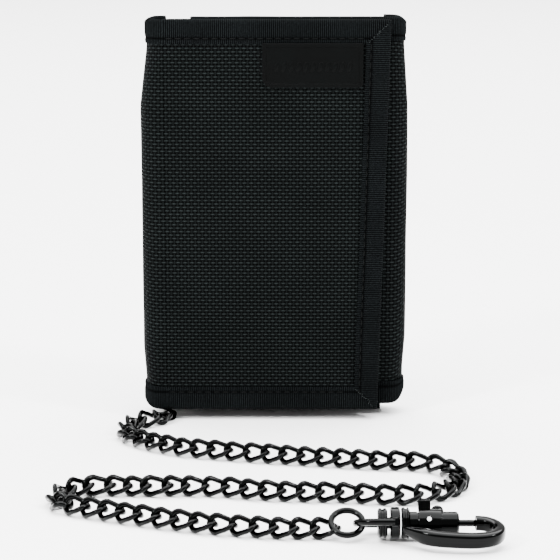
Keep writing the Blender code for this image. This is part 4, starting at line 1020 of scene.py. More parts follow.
# --------------------------------------------------------------------- clip
@dataclass
class Clip:
    """Swivel snap clip with a thumb plunger and a turning lock sleeve."""

    origin: Point3 = (0.0207, -0.1235, 0.0046)
    length_trim: float = 0.975
    hook_lean_deg: float = 6.0
    ring_radius: float = 0.0042
    ring_wire: float = 0.0017
    ring_tilt_deg: float = 31.0
    eye_tilt_deg: float = -22.0
    eye_radius: float = 0.0054
    eye_wire: float = 0.0019
    barrel: float = 0.003
    flange: float = 0.0041
    barrel_end: float = 0.0285
    hook_reach: float = 0.0105
    bar_width: float = 0.0034
    bar_height: float = 0.0042
    tip_x: float = 0.0331
    end_x: float = 0.039
    sleeve: tuple[float, float] = (0.0176, 0.0238)
    knob_x: float = 0.023
    knob_angle_deg: float = 20.0
    tab_angle_deg: float = 64.0
    made: list[bpy.types.Object] = field(default_factory=list)

    def lean(self) -> Matrix:
        """Turn from the clip's own axes to the row frame."""
        return (Matrix.Translation(self.origin) @ Matrix.Rotation(math.radians(self.hook_lean_deg), 4, "X")
                @ Matrix.Diagonal((self.length_trim, 1, 1, 1)))

    def finish(self, obj: bpy.types.Object, body: str, nodes: Iterable[str], matrix: Matrix,
               finish: Finish = BLACK_NICKEL, slot: Slot = Slot.METAL) -> bpy.types.Object:
        """Put a piece in its place and dress it."""
        obj.data.transform(matrix)
        obj.data.update()
        self.made.append(dress(obj, finish, slot, body, nodes))
        return obj

    def build(self) -> list[bpy.types.Object]:
        """Make every piece of the clip."""
        self.ring()
        self.swivel()
        self.rivet()
        self.hook()
        self.plunger()
        self.lock()
        return self.made

    def ring(self) -> None:
        """The round ring that joins the chain to the swivel."""
        low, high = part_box("end_ring")
        centre = (low + high) / 2 + Vector((-0.0019, 0.001, 0.0008))
        bpy.ops.mesh.primitive_torus_add(major_segments=56, minor_segments=16, major_radius=self.ring_radius,
                                         minor_radius=self.ring_wire / 2, location=centre,
                                         rotation=(math.radians(self.ring_tilt_deg), 0, 0))
        self.finish(tidy(added("clip_end_ring"), 80.0), "root", ["end_ring"], Matrix.Identity(4))

    def swivel(self) -> None:
        """A bent bow, swept in three runs, whose legs end in a turned yoke."""
        bend = self.eye_wire / 2 + self.eye_radius
        yoke = 0.0111
        bpy.ops.mesh.primitive_circle_add(vertices=14, radius=self.eye_wire / 2, location=(yoke, -self.eye_radius, 0),
                                          rotation=(0, math.radians(90), 0))
        bow = added("clip_swivel_eye")
        bpy.ops.object.transform_apply(location=True, rotation=True, scale=True)
        pick(bow, "VERT", lambda vert: True)
        bpy.ops.mesh.extrude_region_move(TRANSFORM_OT_translate={"value": (bend - yoke, 0, 0)})
        bpy.ops.mesh.spin(steps=24, angle=math.pi, center=(bend, 0, 0), axis=(0, 0, 1))
        bpy.ops.mesh.extrude_region_move(TRANSFORM_OT_translate={"value": (yoke - bend, 0, 0)})
        bpy.ops.object.mode_set(mode="OBJECT")
        tidy(bow, 80.0)
        disc = lathe("yoke", [(0.0101, 0.0018), (0.0101, 0.0036), (0.0104, 0.0042), (0.0124, 0.0042),
                              (0.0127, 0.0036), (0.0127, 0.0018)], ring=True)
        arms = box("arms", (0.0102, -0.0060, -0.0012), (0.0120, -0.0024, 0.0012), 0.0004)
        far_arm = box("far_arm", (0.0102, 0.0024, -0.0012), (0.0120, 0.0060, 0.0012), 0.0004)
        whole = join([bow, disc, arms, far_arm], "clip_swivel_eye")
        turn = (Matrix.Translation(self.origin) @ Matrix.Rotation(math.radians(self.eye_tilt_deg), 4, "X")
                @ Matrix.Diagonal((self.length_trim, 1, 1, 1)))
        self.finish(whole, "root", ["swivel_eye"], turn)

    def rivet(self) -> None:
        """A grooved head and stem that turn in the yoke."""
        profile = [(0.0067, 0.0), (0.0067, 0.0033), (0.0071, 0.0039), (0.0076, 0.0039), (0.0078, 0.0036),
                   (0.0082, 0.0036), (0.0084, 0.0039), (0.0089, 0.0039), (0.0093, 0.0034), (0.0093, 0.0015),
                   (0.0127, 0.0015), (0.0127, 0.0)]
        self.finish(lathe("clip_rivet", profile), "hook", ["swivel_rivet"], self.lean())

    def hook(self) -> None:
        """Flange, barrel with its bore, and the bent bar, in one casting."""
        start, end = self.sleeve
        barrel, flange = self.barrel, self.flange
        profile = [(0.0130, 0.0), (0.0130, flange - 0.0004), (0.0134, flange), (0.0139, flange),
                   (0.0141, flange - 0.0003), (0.0145, flange - 0.0003), (0.0147, flange), (0.0149, flange),
                   (0.0153, flange - 0.0005), (0.0153, barrel), (start - 0.0003, barrel),
                   (start - 0.0003, barrel - 0.0003), (end + 0.0003, barrel - 0.0003),
                   (end + 0.0003, barrel), (self.barrel_end - 0.0005, barrel),
                   (self.barrel_end, barrel - 0.0005), (self.barrel_end, 0.0012), (0.0273, 0.0012),
                   (0.0273, 0.0019), (0.0156, 0.0019), (0.0156, 0.0)]
        turned = lathe("clip_barrel", profile, 48)
        slot_low = self.knob_x - 0.0036 - 0.00085
        bpy.ops.mesh.primitive_cube_add(size=1, scale=(self.knob_x + 0.00085 - slot_low, 0.004, 0.0017),
                                        location=((self.knob_x + 0.00085 + slot_low) / 2, 0.0030, 0))
        cutter = tidy(added("slot_cutter"))
        cutter.data.transform(Matrix.Rotation(math.radians(self.knob_angle_deg), 4, "X"))
        modify(turned, "BOOLEAN", operation="DIFFERENCE", solver="EXACT", object=cutter)
        bpy.data.objects.remove(cutter)
        tidy(turned, 35.0, merge=1e-7)
        whole = join([turned, self.bar()], "clip_hook_body")
        self.finish(whole, "hook", ["hook_body"], self.lean())

    def bar(self) -> bpy.types.Object:
        """The J-shaped bar: a rounded section drawn along a bent line."""
        reach, tip = self.hook_reach, self.tip_x
        key = [(0.0136, -0.0034), (0.0175, -reach * 0.66), (0.0215, -reach * 0.88), (0.028, -reach * 0.99),
               (tip, -reach), (self.end_x - 0.0018, -reach * 0.85), (self.end_x, -reach * 0.55),
               (self.end_x - 0.0008, -reach * 0.26), (self.end_x - 0.003, -reach * 0.06),
                (tip + 0.0008, 0.0), (tip, 0.0)]
        line = spread_path([Vector((x, y, 0)) for x, y in key], 60)
        section = [(0.5 * self.bar_width * sx, 0.5 * self.bar_height * sy) for sx, sy in self.section_points()]
        rings = []
        for index, point in enumerate(line):
            share = index / (len(line) - 1)
            ahead = (line[min(index + 1, 59)] - line[max(index - 1, 0)]).normalized()
            across = Vector((ahead.y, -ahead.x, 0))
            thin = (1.0 - 0.12 * share) * min(1.0, 0.5 + 3.0 * share)
            tall = (1.0 - 0.14 * share) * min(1.0, 0.42 + 3.4 * share)
            rings.append([tuple(point + across * a * thin + Vector((0, 0, 1)) * b * tall) for a, b in section])
        size = len(section)
        faces = [(r * size + c, r * size + (c + 1) % size, (r + 1) * size + (c + 1) % size, (r + 1) * size + c)
                 for r in range(len(rings) - 1) for c in range(size)]
        data = bpy.data.meshes.new("clip_bar")
        data.from_pydata([p for ring in rings for p in ring], [], faces)
        obj = bpy.data.objects.new("clip_bar", data)
        bpy.context.scene.collection.objects.link(obj)
        pick(obj, "EDGE", lambda edge: edge.is_boundary)
        bpy.ops.mesh.edge_face_add()
        bpy.ops.mesh.inset(thickness=0.00025, depth=0.0002)
        bpy.ops.object.mode_set(mode="OBJECT")
        return tidy(obj, 50.0)

    @staticmethod
    def section_points() -> list[Point2]:
        """Rounded square of unit half size."""
        points = []
        for quarter in range(4):
            for step in range(5):
                angle = math.pi / 2 * (quarter + step / 4)
                c, s = math.cos(angle), math.sin(angle)
                power = 0.55
                points.append((math.copysign(abs(c) ** power, c), math.copysign(abs(s) ** power, s)))
        unique = [p for i, p in enumerate(points) if math.dist(p, points[i - 1]) > 1e-6]
        return unique

    def plunger(self) -> None:
        """Gate rod, its return spring and the domed thumb knob."""
        rod = lathe("clip_gate_rod", [(0.022, 0.0), (0.022, 0.0014), (0.0223, 0.0016), (0.0265, 0.0016),
                                      (0.0268, 0.0013), (0.0268, 0.0009), (0.0331, 0.0009), (0.0334, 0.0007),
                                      (0.0334, 0.0)], 24)
        self.finish(rod, "plunger", ["gate_plunger"], self.lean())
        dome = [(0.0019, 0.0), (0.0019, 0.00055), (0.0040, 0.00055), (0.0040, 0.00155), (0.0042, 0.00175),
                (0.0047, 0.00175), (0.0051, 0.0015), (0.0053, 0.0011), (0.0054, 0.0006), (0.0054, 0.0)]
        knob = lathe("clip_thumb_knob", dome, 28)
        place = (self.lean() @ Matrix.Translation((self.knob_x, 0, 0))
                 @ Matrix.Rotation(math.radians(self.knob_angle_deg), 4, "X") @ Matrix.Rotation(math.pi / 2, 4, "Z"))
        self.finish(knob, "plunger", ["plunger_knob"], place)
        spring = self.spring(0.0161, 0.0215)
        self.finish(spring, "hook", ["plunger_spring"], self.lean(), SPRING_STEEL, Slot.SPRING)
        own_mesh(spring)

    @staticmethod
    def spring(low: float, high: float) -> bpy.types.Object:
        """Five turns of wire, swept from a small circle by the screw modifier."""
        bpy.ops.mesh.primitive_circle_add(vertices=8, radius=0.0002, location=(0.00118, 0, 0),
                                          rotation=(math.pi / 2, 0, 0))
        obj = added("clip_return_spring")
        bpy.ops.object.transform_apply(location=True, rotation=True, scale=True)
        turns = 5
        modify(obj, "SCREW", axis="Z", angle=2 * math.pi, screw_offset=(high - low) / turns, iterations=turns,
               steps=20, render_steps=20, merge_threshold=1e-6, use_normal_calculate=True)
        pick(obj, "EDGE", lambda edge: edge.is_boundary)
        bpy.ops.mesh.edge_face_add()
        bpy.ops.object.mode_set(mode="OBJECT")
        obj.data.transform(Matrix.Translation((low, 0, 0)) @ Matrix.Rotation(math.pi / 2, 4, "Y"))
        return tidy(obj, 80.0, merge=1e-7)

    def lock(self) -> None:
        """The turning sleeve with its finger tab, knob window and index dot."""
        start, end = self.sleeve
        tube = lathe("clip_lock_sleeve", [(start, 0.0030), (start, 0.0036), (start + 0.0002, 0.0037),
                                          (end - 0.0002, 0.0037), (end, 0.0036), (end, 0.0030)], 48, ring=True)
        bpy.ops.mesh.primitive_cube_add(size=1, scale=(0.0075, 0.004, 0.0034), location=(0.0221, 0.0036, 0))
        cutter = tidy(added("window_cutter"))
        cutter.data.transform(Matrix.Rotation(math.radians(self.knob_angle_deg - 17.0), 4, "X"))
        modify(tube, "BOOLEAN", operation="DIFFERENCE", solver="EXACT", object=cutter)
        bpy.data.objects.remove(cutter)
        tidy(tube, 35.0, merge=1e-7)
        tab = box("tab", (start, 0.0034, -0.00045), (start + 0.0034, 0.0060, 0.00045), 0.0002)
        tab.data.transform(Matrix.Rotation(math.radians(self.tab_angle_deg), 4, "X"))
        self.finish(join([tube, tab], "clip_lock_sleeve"), "lock", ["lock_sleeve"], self.lean())
        bpy.ops.mesh.primitive_cylinder_add(vertices=20, radius=0.0006, depth=0.0002, location=(0.0204, 0, 0.00368))
        dot = added("clip_index_dot")
        pick(dot, "FACE", lambda face: face.normal.z > 0.9)
        bpy.ops.mesh.bevel(offset=0.00003, segments=2, affect="EDGES")
        bpy.ops.object.mode_set(mode="OBJECT")
        tidy(dot)
        dot.data.transform(Matrix.Rotation(math.radians(48.0), 4, "X"))
        self.finish(dot, "lock", [], self.lean(), INK, Slot.METAL)


# ------------------------------------------------------------------- wallet
@dataclass
class Layout:
    """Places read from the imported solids, shared by the cloth sub-assemblies."""

    tape_width: float = 0.0075
    tape: float = 0.0005

    def __post_init__(self) -> None:
        """Read the boxes of the nodes that set each panel's extent."""
        flap_low, flap_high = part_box("flap_binding_top")
        edge_low, edge_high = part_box("flap_binding_edge")
        self.seam = -flap_low.x
        self.flap_front, self.flap_back = flap_low.y, flap_high.y
        self.flap_top = flap_high.z
        self.flap_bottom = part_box("flap_binding_bottom")[0].z
        self.edge_high_x = edge_high.x
        self.edge_low_x = edge_low.x + self.tape_width
        self.edge_z = (edge_low.z, edge_high.z)
        inner_low, inner_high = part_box("inner_binding_top")
        self.inner_front, self.inner_back = inner_low.y, inner_high.y
        self.inner_left, self.inner_top = inner_low.x, inner_high.z
        self.inner_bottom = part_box("inner_binding_bottom")[0].z
        back_low, back_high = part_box("back_binding_top")
        self.back_front, self.back_rear, self.back_top = back_low.y, back_high.y, back_high.z
        self.cloth_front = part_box("flap_cover")[0].y
        self.inner_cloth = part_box("inner_cover")[0].y
        self.cloth_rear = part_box("back_cover")[1].y
        left_low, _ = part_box("left_fold")
        self.reach = -left_low.x - self.seam

    @property
    def lean(self) -> float:
        """Drift of the flap's free edge per metre of height."""
        low, high = self.edge_z
        return (self.edge_high_x - self.edge_low_x) / (high - low)

    def flap_edge(self, z: float) -> float:
        """X of the flap's free edge at a height."""
        return self.edge_low_x + self.lean * (z - self.edge_z[0])


@dataclass
class Flap:
    """Front flap: woven face, ribbed tapes, rubber patch, lining and hook strip."""

    at: Layout
    crown: float = 0.00042

    def build(self) -> None:
        """Make the flap's pieces, front to back."""
        at = self.at
        cover = panel("flap_face", -at.seam, lambda z: at.flap_edge(z) - 0.0012, at.flap_bottom + 0.001,
                      at.flap_top - 0.001, at.cloth_front, 0.0011, self.crown, spacing=0.0019, simulate=True)
        dress(cover, NYLON, Slot.NYLON, "flap", ["flap_cover"])
        width = at.flap_edge(0.065) + at.seam
        low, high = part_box("flap_lining")
        lining = panel("flap_inside", low.x, lambda z: at.flap_edge(z) - 0.0012, low.z, high.z, high.y, 0.0004,
                       0.0001, spacing=0.003, facing_back=True, seed=4.0)
        dress(lining, LINING, Slot.LINING, "flap", ["flap_lining"])
        self.tapes()
        self.patch()
        low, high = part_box("hook_strip")
        strip = box("flap_hook_strip", tuple(low), tuple(high), 0.00035)
        dress(strip, FASTENER, Slot.FASTENER, "flap", ["hook_strip"])
        self.sewing()

    def tapes(self) -> None:
        """Fold the tape over the top, the bottom and the free edge."""
        at = self.at
        depth = at.flap_back - at.flap_front
        for name, edge, inward in (("top", at.flap_top, -1.0), ("bottom", at.flap_bottom, 1.0)):
            way = straight(-at.seam, at.flap_edge(edge) - 0.0003, at.flap_front)
            section = channel(depth, edge + inward * at.tape_width, edge, 0.0011, 0.0003)
            tape = binding(f"flap_tape_{name}", way, section)
            dress(tape, TAPE, Slot.TAPE, "flap", [f"flap_binding_{name}"])
        middle_z = sum(at.edge_z) / 2
        edge = at.flap_edge(middle_z) + 0.0002
        section = channel(depth + 0.0005, edge - at.tape_width, edge, 0.0012, 0.0003)
        plan = np.stack([at.flap_front - 0.00025 - section[:, 0], section[:, 1]], axis=1)[::-1]
        tape = edge_binding(
            "flap_tape_edge", plan, lambda x: at.flap_bottom + 0.0002 + max(0.0, edge - x) * 0.9,
            lambda x: at.flap_top - 0.0002 - max(0.0, edge - x) * 0.9, at.lean, middle_z, mirrored=False)
        dress(tape, TAPE, Slot.TAPE, "flap", ["flap_binding_edge"])

    def patch(self) -> None:
        """A rubber patch with soft corners, a raised rim and a plain row of studs."""
        low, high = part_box("flap_label")
        bpy.ops.mesh.primitive_cube_add(
            size=1, location=((low.x + high.x) / 2, low.y + 0.00005, (low.z + high.z) / 2 + 0.0003),
                                        scale=(high.x - low.x, 0.0008, high.z - low.z + 0.0006))
        patch = added("flap_patch")
        bpy.ops.object.transform_apply(location=True, rotation=True, scale=True)
        for side, radius in ((-1.0, 0.003), (1.0, 0.0014)):
            centre_x = (low.x + high.x) / 2
            pick(patch, "EDGE", lambda edge, side=side: middle(edge).z < low.z + 0.001
                 and (middle(edge).x - centre_x) * side > 0.005
                 and abs(edge.verts[0].co.y - edge.verts[1].co.y) > 0.0001)
            bpy.ops.mesh.bevel(offset=radius, segments=8, affect="EDGES")
        pick(patch, "FACE", lambda face: face.normal.y < -0.9)
        bpy.ops.mesh.inset(thickness=0.0002, depth=0.00014)
        bpy.ops.mesh.inset(thickness=0.0009)
        bpy.ops.mesh.inset(thickness=0.00016, depth=-0.00016)
        bpy.ops.object.mode_set(mode="OBJECT")
        tidy(patch, 30.0)
        front = min(vert.co.y for vert in patch.data.vertices) + 0.00016
        studs = []
        for number in range(11):
            x = low.x + (high.x - low.x) * (0.14 + 0.072 * number)
            bpy.ops.mesh.primitive_uv_sphere_add(
                segments=16, ring_count=8, radius=1.0, scale=(0.0008, 0.00028, 0.0017),
                                                 location=(x, front, (low.z + high.z) / 2 - 0.0002),
                                                 rotation=(0, math.radians(18), 0))
            studs.append(tidy(added(f"stud_{number}"), 80.0))
        dress(join([patch, *studs], "flap_patch"), RUBBER, Slot.RUBBER, "flap", ["flap_label"])

    def sewing(self) -> None:
        """Rows of stitches along the tapes and round the patch."""
        at = self.at
        front = at.flap_front + 0.0002
        low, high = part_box("flap_label")
        right = at.flap_edge(at.flap_top) - at.tape_width - 0.0004
        lines = [((-at.seam + 0.0005, front, at.flap_top - 0.0058), (right, front, at.flap_top - 0.0058)),
                 ((-at.seam + 0.0005, front, at.flap_bottom + 0.0058),
                  (at.flap_edge(at.flap_bottom) - at.tape_width, front, at.flap_bottom + 0.0058)),
                 ((at.flap_edge(0.008) - 0.0058, front - 0.00025, 0.0080),
                  (at.flap_edge(0.122) - 0.0058, front - 0.00025, 0.1220))]
        cloth_y = at.cloth_front - 0.00008
        lines += [((low.x - 0.0007, cloth_y - 0.00012, high.z - 0.001),
                   (low.x - 0.0007, cloth_y - 0.0002, low.z + 0.002)),
                  ((low.x + 0.002, cloth_y - 0.00025, low.z - 0.0007),
                   (high.x - 0.0005, cloth_y - 0.0001, low.z - 0.0007))]
        stitches("flap_stitching", lines, (0, -1, 0), "flap")
        self.loose_fibres()

    def loose_fibres(self) -> None:
        """Frayed ends of the tape at its two mitres."""
        at = self.at
        strands = []
        for number in range(26):
            n = noise.noise_vector(Vector((number * 1.31, 0.7, 0.2)))
            top = number % 2 == 0
            share = (number // 2) / 12
            x = at.flap_edge(at.flap_top if top else at.flap_bottom) - 0.0012 - 0.0055 * share + n.z * 0.0009
            z = at.flap_top - 0.0016 - 0.0053 * share if top else at.flap_bottom + 0.0016 + 0.0053 * share
            root = Vector((x, at.flap_front - 0.00035, z))
            tip = root + Vector((n.x * 0.0011, -0.0003 - abs(n.y) * 0.0005, n.z * 0.0011))
            bpy.ops.mesh.primitive_cone_add(vertices=5, radius1=0.0001, radius2=0.00004, depth=(tip - root).length,
                                            location=(root + tip) / 2,
                                            rotation=(tip - root).to_track_quat("Z", "Y").to_euler())
            strands.append(tidy(added(f"strand_{number}"), 80.0))
        dress(join(strands, "flap_frayed_ends"), FRAY, Slot.TAPE, "flap")


@dataclass
class InnerPanel:
    """Panel folded in under the flap: woven face, loop strip, lining and card window."""

    at: Layout

    def build(self) -> None:
        """Make the panel's pieces, front to back."""
        at = self.at
        face = panel("inner_face", at.inner_left + 0.0008, lambda z: at.seam, at.inner_bottom + 0.0008,
                     at.inner_top - 0.0008, at.inner_cloth, 0.0009, 0.00015, spacing=0.0024, seed=7.0)
        dress(face, NYLON, Slot.NYLON, "inner", ["inner_cover"])
        low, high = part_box("inner_lining")
        lining = panel("inner_inside", low.x, lambda z: high.x, low.z, high.z, high.y, 0.0004, 0.0001,
                       spacing=0.003, facing_back=True, seed=9.0)
        dress(lining, LINING, Slot.LINING, "inner", ["inner_lining"])
        depth = at.inner_back - at.inner_front
        for name, edge, inward in (("top", at.inner_top, -1.0), ("bottom", at.inner_bottom, 1.0)):
            section = channel(depth, edge + inward * at.tape_width, edge, 0.0009, 0.0002)
            tape = binding(f"inner_tape_{name}", straight(at.inner_left + 0.0003, at.seam, at.inner_front), section)
            dress(tape, TAPE, Slot.TAPE, "inner", [f"inner_binding_{name}"])
        edge = at.inner_left - 0.0001
        section = channel(depth + 0.0004, edge + at.tape_width, edge, 0.001, 0.0002)
        plan = np.stack([at.inner_front - 0.0002 - section[:, 0], section[:, 1]], axis=1)
        tape = edge_binding(
            "inner_tape_edge", plan, lambda x: at.inner_bottom + 0.0002 + max(0.0, x - edge) * 0.9,
            lambda x: at.inner_top - 0.0002 - max(0.0, x - edge) * 0.9, 0.0, 0.065, mirrored=True)
        dress(tape, TAPE, Slot.TAPE, "inner", ["inner_binding_edge"])
        low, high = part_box("loop_strip")
        dress(box("inner_loop_strip", tuple(low), tuple(high), 0.00035), FASTENER, Slot.FASTENER, "inner",
              ["loop_strip"])
        self.window()
        front = at.inner_front + 0.00012
        lines = [((at.inner_left + 0.008, front, z), (at.seam - 0.0005, front, z))
                 for z in (at.inner_top - 0.0058, at.inner_bottom + 0.0058)]
        lines.append(((at.inner_left + 0.0058, front - 0.0002, 0.009),
                      (at.inner_left + 0.0058, front - 0.0002, 0.122)))
        low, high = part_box("loop_strip")
        lines += [((x, low.y - 0.00002, low.z + 0.0015), (x, low.y - 0.00002, high.z - 0.0015))
                  for x in (low.x + 0.0012, high.x - 0.0012)]
        stitches("inner_stitching", lines, (0, -1, 0), "inner")

    def window(self) -> None:
        """A bound frame round a clear film, on the side that faces the card slots."""
        low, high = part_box("id_window_frame")
        bpy.ops.mesh.primitive_plane_add(size=1, location=((low.x + high.x) / 2, high.y, (low.z + high.z) / 2),
                                         rotation=(-math.pi / 2, 0, 0))
        surround = added("id_window_surround")
        surround.scale = (high.x - low.x, high.z - low.z, 1)
        bpy.ops.object.transform_apply(location=True, rotation=True, scale=True)
        pick(surround, "FACE", lambda face: True)
        bpy.ops.mesh.inset(thickness=0.006)
        bpy.ops.mesh.delete(type="FACE")
        bpy.ops.object.mode_set(mode="OBJECT")
        modify(surround, "SOLIDIFY", thickness=high.y - low.y, offset=-1.0)
        modify(surround, "BEVEL", width=0.0002, segments=2, limit_method="ANGLE")
        tidy(surround)
        self.chart(surround)
        dress(surround, LINING, Slot.LINING, "inner", ["id_window_frame"])
        film_low, film_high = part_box("id_window")
        film = box("id_window_film", (film_low.x - 0.001, film_low.y, film_low.z - 0.001),
                   (film_high.x + 0.001, film_high.y - 0.00005, film_high.z + 0.001), 0.0001, 2)
        dress(film, FILM, Slot.FILM, "inner", ["id_window"])
        y = high.y + 0.00002
        inset = 0.0045
        left, right, bottom, top = low.x + inset, high.x - inset, low.z + inset, high.z - inset
        stitches("id_window_stitching", [((left, y, bottom), (right, y, bottom)), ((left, y, top), (right, y, top)),
                                         ((left, y, bottom), (left, y, top))], (0, 1, 0), "inner")

    @staticmethod
    def chart(obj: bpy.types.Object) -> None:
        """Lay the flat X and Z of a piece on its cloth map."""
        layer = obj.data.uv_layers.get("Cloth") or obj.data.uv_layers.new(name="Cloth")
        for loop in obj.data.loops:
            co = obj.data.vertices[loop.vertex_index].co
            layer.data[loop.index].uv = (co.x, co.z)


@dataclass
class BackPanel:
    """Back panel: lining with stepped card slots inside, woven face outside."""

    at: Layout

    def build(self) -> None:
        """Make the panel's cloth, tapes and slots."""
        at = self.at
        left_fold = fold_way(-1.0, at.cloth_front, at.cloth_rear, at.seam, at.reach)
        cover = panel("back_face", -at.seam, lambda z: at.seam, 0.0008, at.back_top - 0.0008, at.cloth_rear, 0.001,
                      0.00035, spacing=0.0022, facing_back=True, chart_start=-at.seam - left_fold.length, seed=11.0,
                      simulate=True)
        dress(cover, NYLON, Slot.NYLON, "root", ["back_cover"])
        low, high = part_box("back_lining")
        lining = panel("back_inside", low.x, lambda z: high.x, low.z, high.z, low.y, 0.0004, 0.0001,
                       spacing=0.003, seed=13.0)
        dress(lining, LINING, Slot.LINING, "root", ["back_lining"])
        depth = at.back_rear - at.back_front
        for name, edge, inward in (("top", at.back_top, -1.0), ("bottom", 0.0, 1.0)):
            section = channel(depth, edge + inward * at.tape_width, edge, 0.0013, 0.0003)
            tape = binding(f"back_tape_{name}", straight(at.seam, -at.seam, at.back_rear), section)
            lowest = min(vertex.co.z for vertex in tape.data.vertices)
            tape.data.transform(Matrix.Translation((0, 0, max(0.0, 0.00002 - lowest))))
            dress(tape, TAPE, Slot.TAPE, "root", [f"back_binding_{name}"])
        self.slots()
        self.chain_strap()
        rear = at.back_rear - 0.0002
        lines = [((at.seam - 0.0005, rear, z), (-at.seam + 0.0005, rear, z)) for z in (at.back_top - 0.0058, 0.0058)]
        stitches("back_stitching", lines, (0, 1, 0), "root")

    def slots(self) -> None:
        """Four stepped card slots, each with a turned-in lip and side stitching."""
        lines = []
        for number in range(1, 5):
            low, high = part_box(f"card_pocket_{number}")
            sheet = panel(f"card_slot_{number}", low.x, lambda z, x=high.x: x, low.z, high.z, low.y, high.y - low.y,
                          0.00008, spacing=0.003, seed=20.0 + number)
            dress(sheet, LINING, Slot.LINING, "root", [f"card_pocket_{number}"])
            y, z = low.y - 0.00004, high.z - 0.0018
            lines.append(((low.x + 0.001, y, z), (high.x - 0.001, y, z)))
            lines += [((x, y, low.z + 0.001 if number == 1 else high.z - 0.0115), (x, y, high.z - 0.002))
                      for x in (low.x + 0.0009, high.x - 0.0009)]
        stitches("card_slot_stitching", lines, (0, -1, 0), "root")

    def chain_strap(self) -> None:
        """A doubled webbing strap that holds the ring's bar."""
        low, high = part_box("chain_tab")
        ring_low, ring_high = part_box("d_ring")
        axis_y, axis_z = (ring_low.y + ring_high.y) / 2, ring_high.z - 0.0008
        radius = 0.0013
        line = [Vector((high.y - 0.0002, high.z - 0.0002, 0)), Vector((axis_y + radius, high.z - 0.0006, 0)),
                Vector((axis_y + radius, axis_z + 0.004, 0))]
        line += [Vector((axis_y + radius * math.cos(a), axis_z + radius * math.sin(a), 0))
                 for a in (-i * math.pi / 8 for i in range(9))]
        line += [Vector((axis_y - radius, axis_z + 0.004, 0)), Vector((axis_y - radius, high.z - 0.001, 0))]
        points = spread_path(line, 60)
        way = Way(np.array([[p.x, p.y] for p in points]), np.zeros((60, 2)))

        def place(share: float, across: float) -> Point3:
            y, z, _, _ = way.at(1 - share)
            return low.x + (high.x - low.x) * across, y, z

        strap = cloth("chain_strap", 60, 8, place, lambda s, a: (s * way.length, a * 0.0056), 0.0007, 0.0001)
        dress(strap, WEBBING, Slot.WEBBING, "root", ["chain_tab"])


@dataclass
class Folds:
    """Cloth spines with their tapes, round the two folds."""

    at: Layout
    swell: float = 0.0009

    def build(self) -> None:
        """Make the left fold, which carries the flap, and the right one."""
        at = self.at
        self.fold("left", -1.0, at.cloth_front, at.flap_front, at.flap_bottom, at.flap_top, "flap",
                  corner=0.0018, top_corner=0.0005)
        self.fold("right", 1.0, at.inner_cloth, at.inner_front, at.inner_bottom, at.inner_top, "inner",
                  corner=0.0042, top_corner=0.0012)

    def fold(self, name: str, side: float, front: float, tape_front: float, low: float, high: float, body: str,
             corner: float, top_corner: float) -> None:
        """Shape one spine and its two tapes.

        Args:
            name: left or right.
            side: -1 or 1.
            front: Y of the moving panel's cloth.
            tape_front: Y of the moving panel's tape; not used.
            low: Bottom of the moving panel.
            high: Top of the moving panel.
            body: The moving panel's body; not used.
            corner: Rounding of the lower outer corner.
            top_corner: Rounding of the upper outer corner.
        """
        at = self.at
        way = fold_way(side, front, at.cloth_rear, at.seam, at.reach)
        base_bottom, base_top = low, high
        flush = {"top": -0.0007 if side < 0 else 0.0001, "bottom": 0.0008}

        def outness(share: float) -> float:
            x, _, _, _ = way.at(share)
            return max(0.0, (abs(x) - at.seam) / at.reach)

        def place(share: float, up: float) -> Point3:
            x, y, _, _ = way.at(share)
            out = outness(share)
            bottom = base_bottom + 0.0006 + corner * out**5.5
            top = base_top - 0.0006 - top_corner * out**5.5
            z = bottom + (top - bottom) * up
            below = min(1.0, max(0.0, (0.94 - up) / 0.16))
            above = min(1.0, max(0.0, (up - 0.06) / 0.08))
            belly = self.swell * below + (flush["top"] - 0.0006) * (1.0 - below)
            belly = belly * above + (flush["bottom"] - 0.0006) * (1.0 - above)
            swell = (belly + ripple(z, share, 0.03, 0.0002, side) * below * above) * out
            return x + side * swell, y, z

        rows = round((high - low) / 0.0022)
        spine = cloth(f"{name}_fold_cloth", 34, rows, place,
                      lambda share, up: (way.start + share * way.length,
                                          base_bottom + 0.0006 + (base_top - base_bottom - 0.0012) * up),
                      0.001)
        self.bend(spine, NYLON, Slot.NYLON, body, front, [f"{name}_fold"])
        way.length
        proud = at.cloth_front - at.flap_front if side < 0 else at.inner_cloth - at.inner_front
        rear_proud = at.back_rear - at.cloth_rear
        outer = way.outward
        shares = np.linspace(0.0, 1.0, len(way.points)) if side > 0 else np.linspace(1.0, 0.0, len(way.points))
        bulge = np.clip((np.abs(way.points[:, 0]) - at.seam) / at.reach, 0.0, 1.0)
        size = np.maximum(np.linalg.norm(outer, axis=1, keepdims=True), 1e-9)
        for where, edge, inward, round_off in (
                ("top", base_top, -1.0, -top_corner), ("bottom", base_bottom, 1.0, corner)):
            section = channel(0.0024, edge + inward * at.tape_width, edge, 0.0009, 0.00025)
            grow = (proud + (rear_proud - proud) * shares) * (1.0 - bulge) + flush[where] * bulge
            tape_way = Way(way.points + outer / size * grow[:, None], outer, way.start)

            def lift(share: float, height: float, round_off: float = round_off, edge: float = edge) -> float:
                near = max(0.0, 1.0 - abs(height - edge) / at.tape_width)
                return round_off * outness(share) ** 5.5 * (0.12 + 0.88 * near)

            tape = binding(f"{name}_fold_tape_{where}", tape_way, section, lift)
            self.bend(tape, TAPE, Slot.TAPE, body, front, [])

    def bend(self, obj: bpy.types.Object, finish: Finish, slot: Slot, body: str, front: float,
             nodes: Iterable[str]) -> None:
        """Give a piece its finish, settle its place in the mesh and hide the nodes that it replaces."""
        obj.data.materials.clear()
        obj.data.materials.append(finish.material())
        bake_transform(obj)
        declare(obj, slot, nodes)


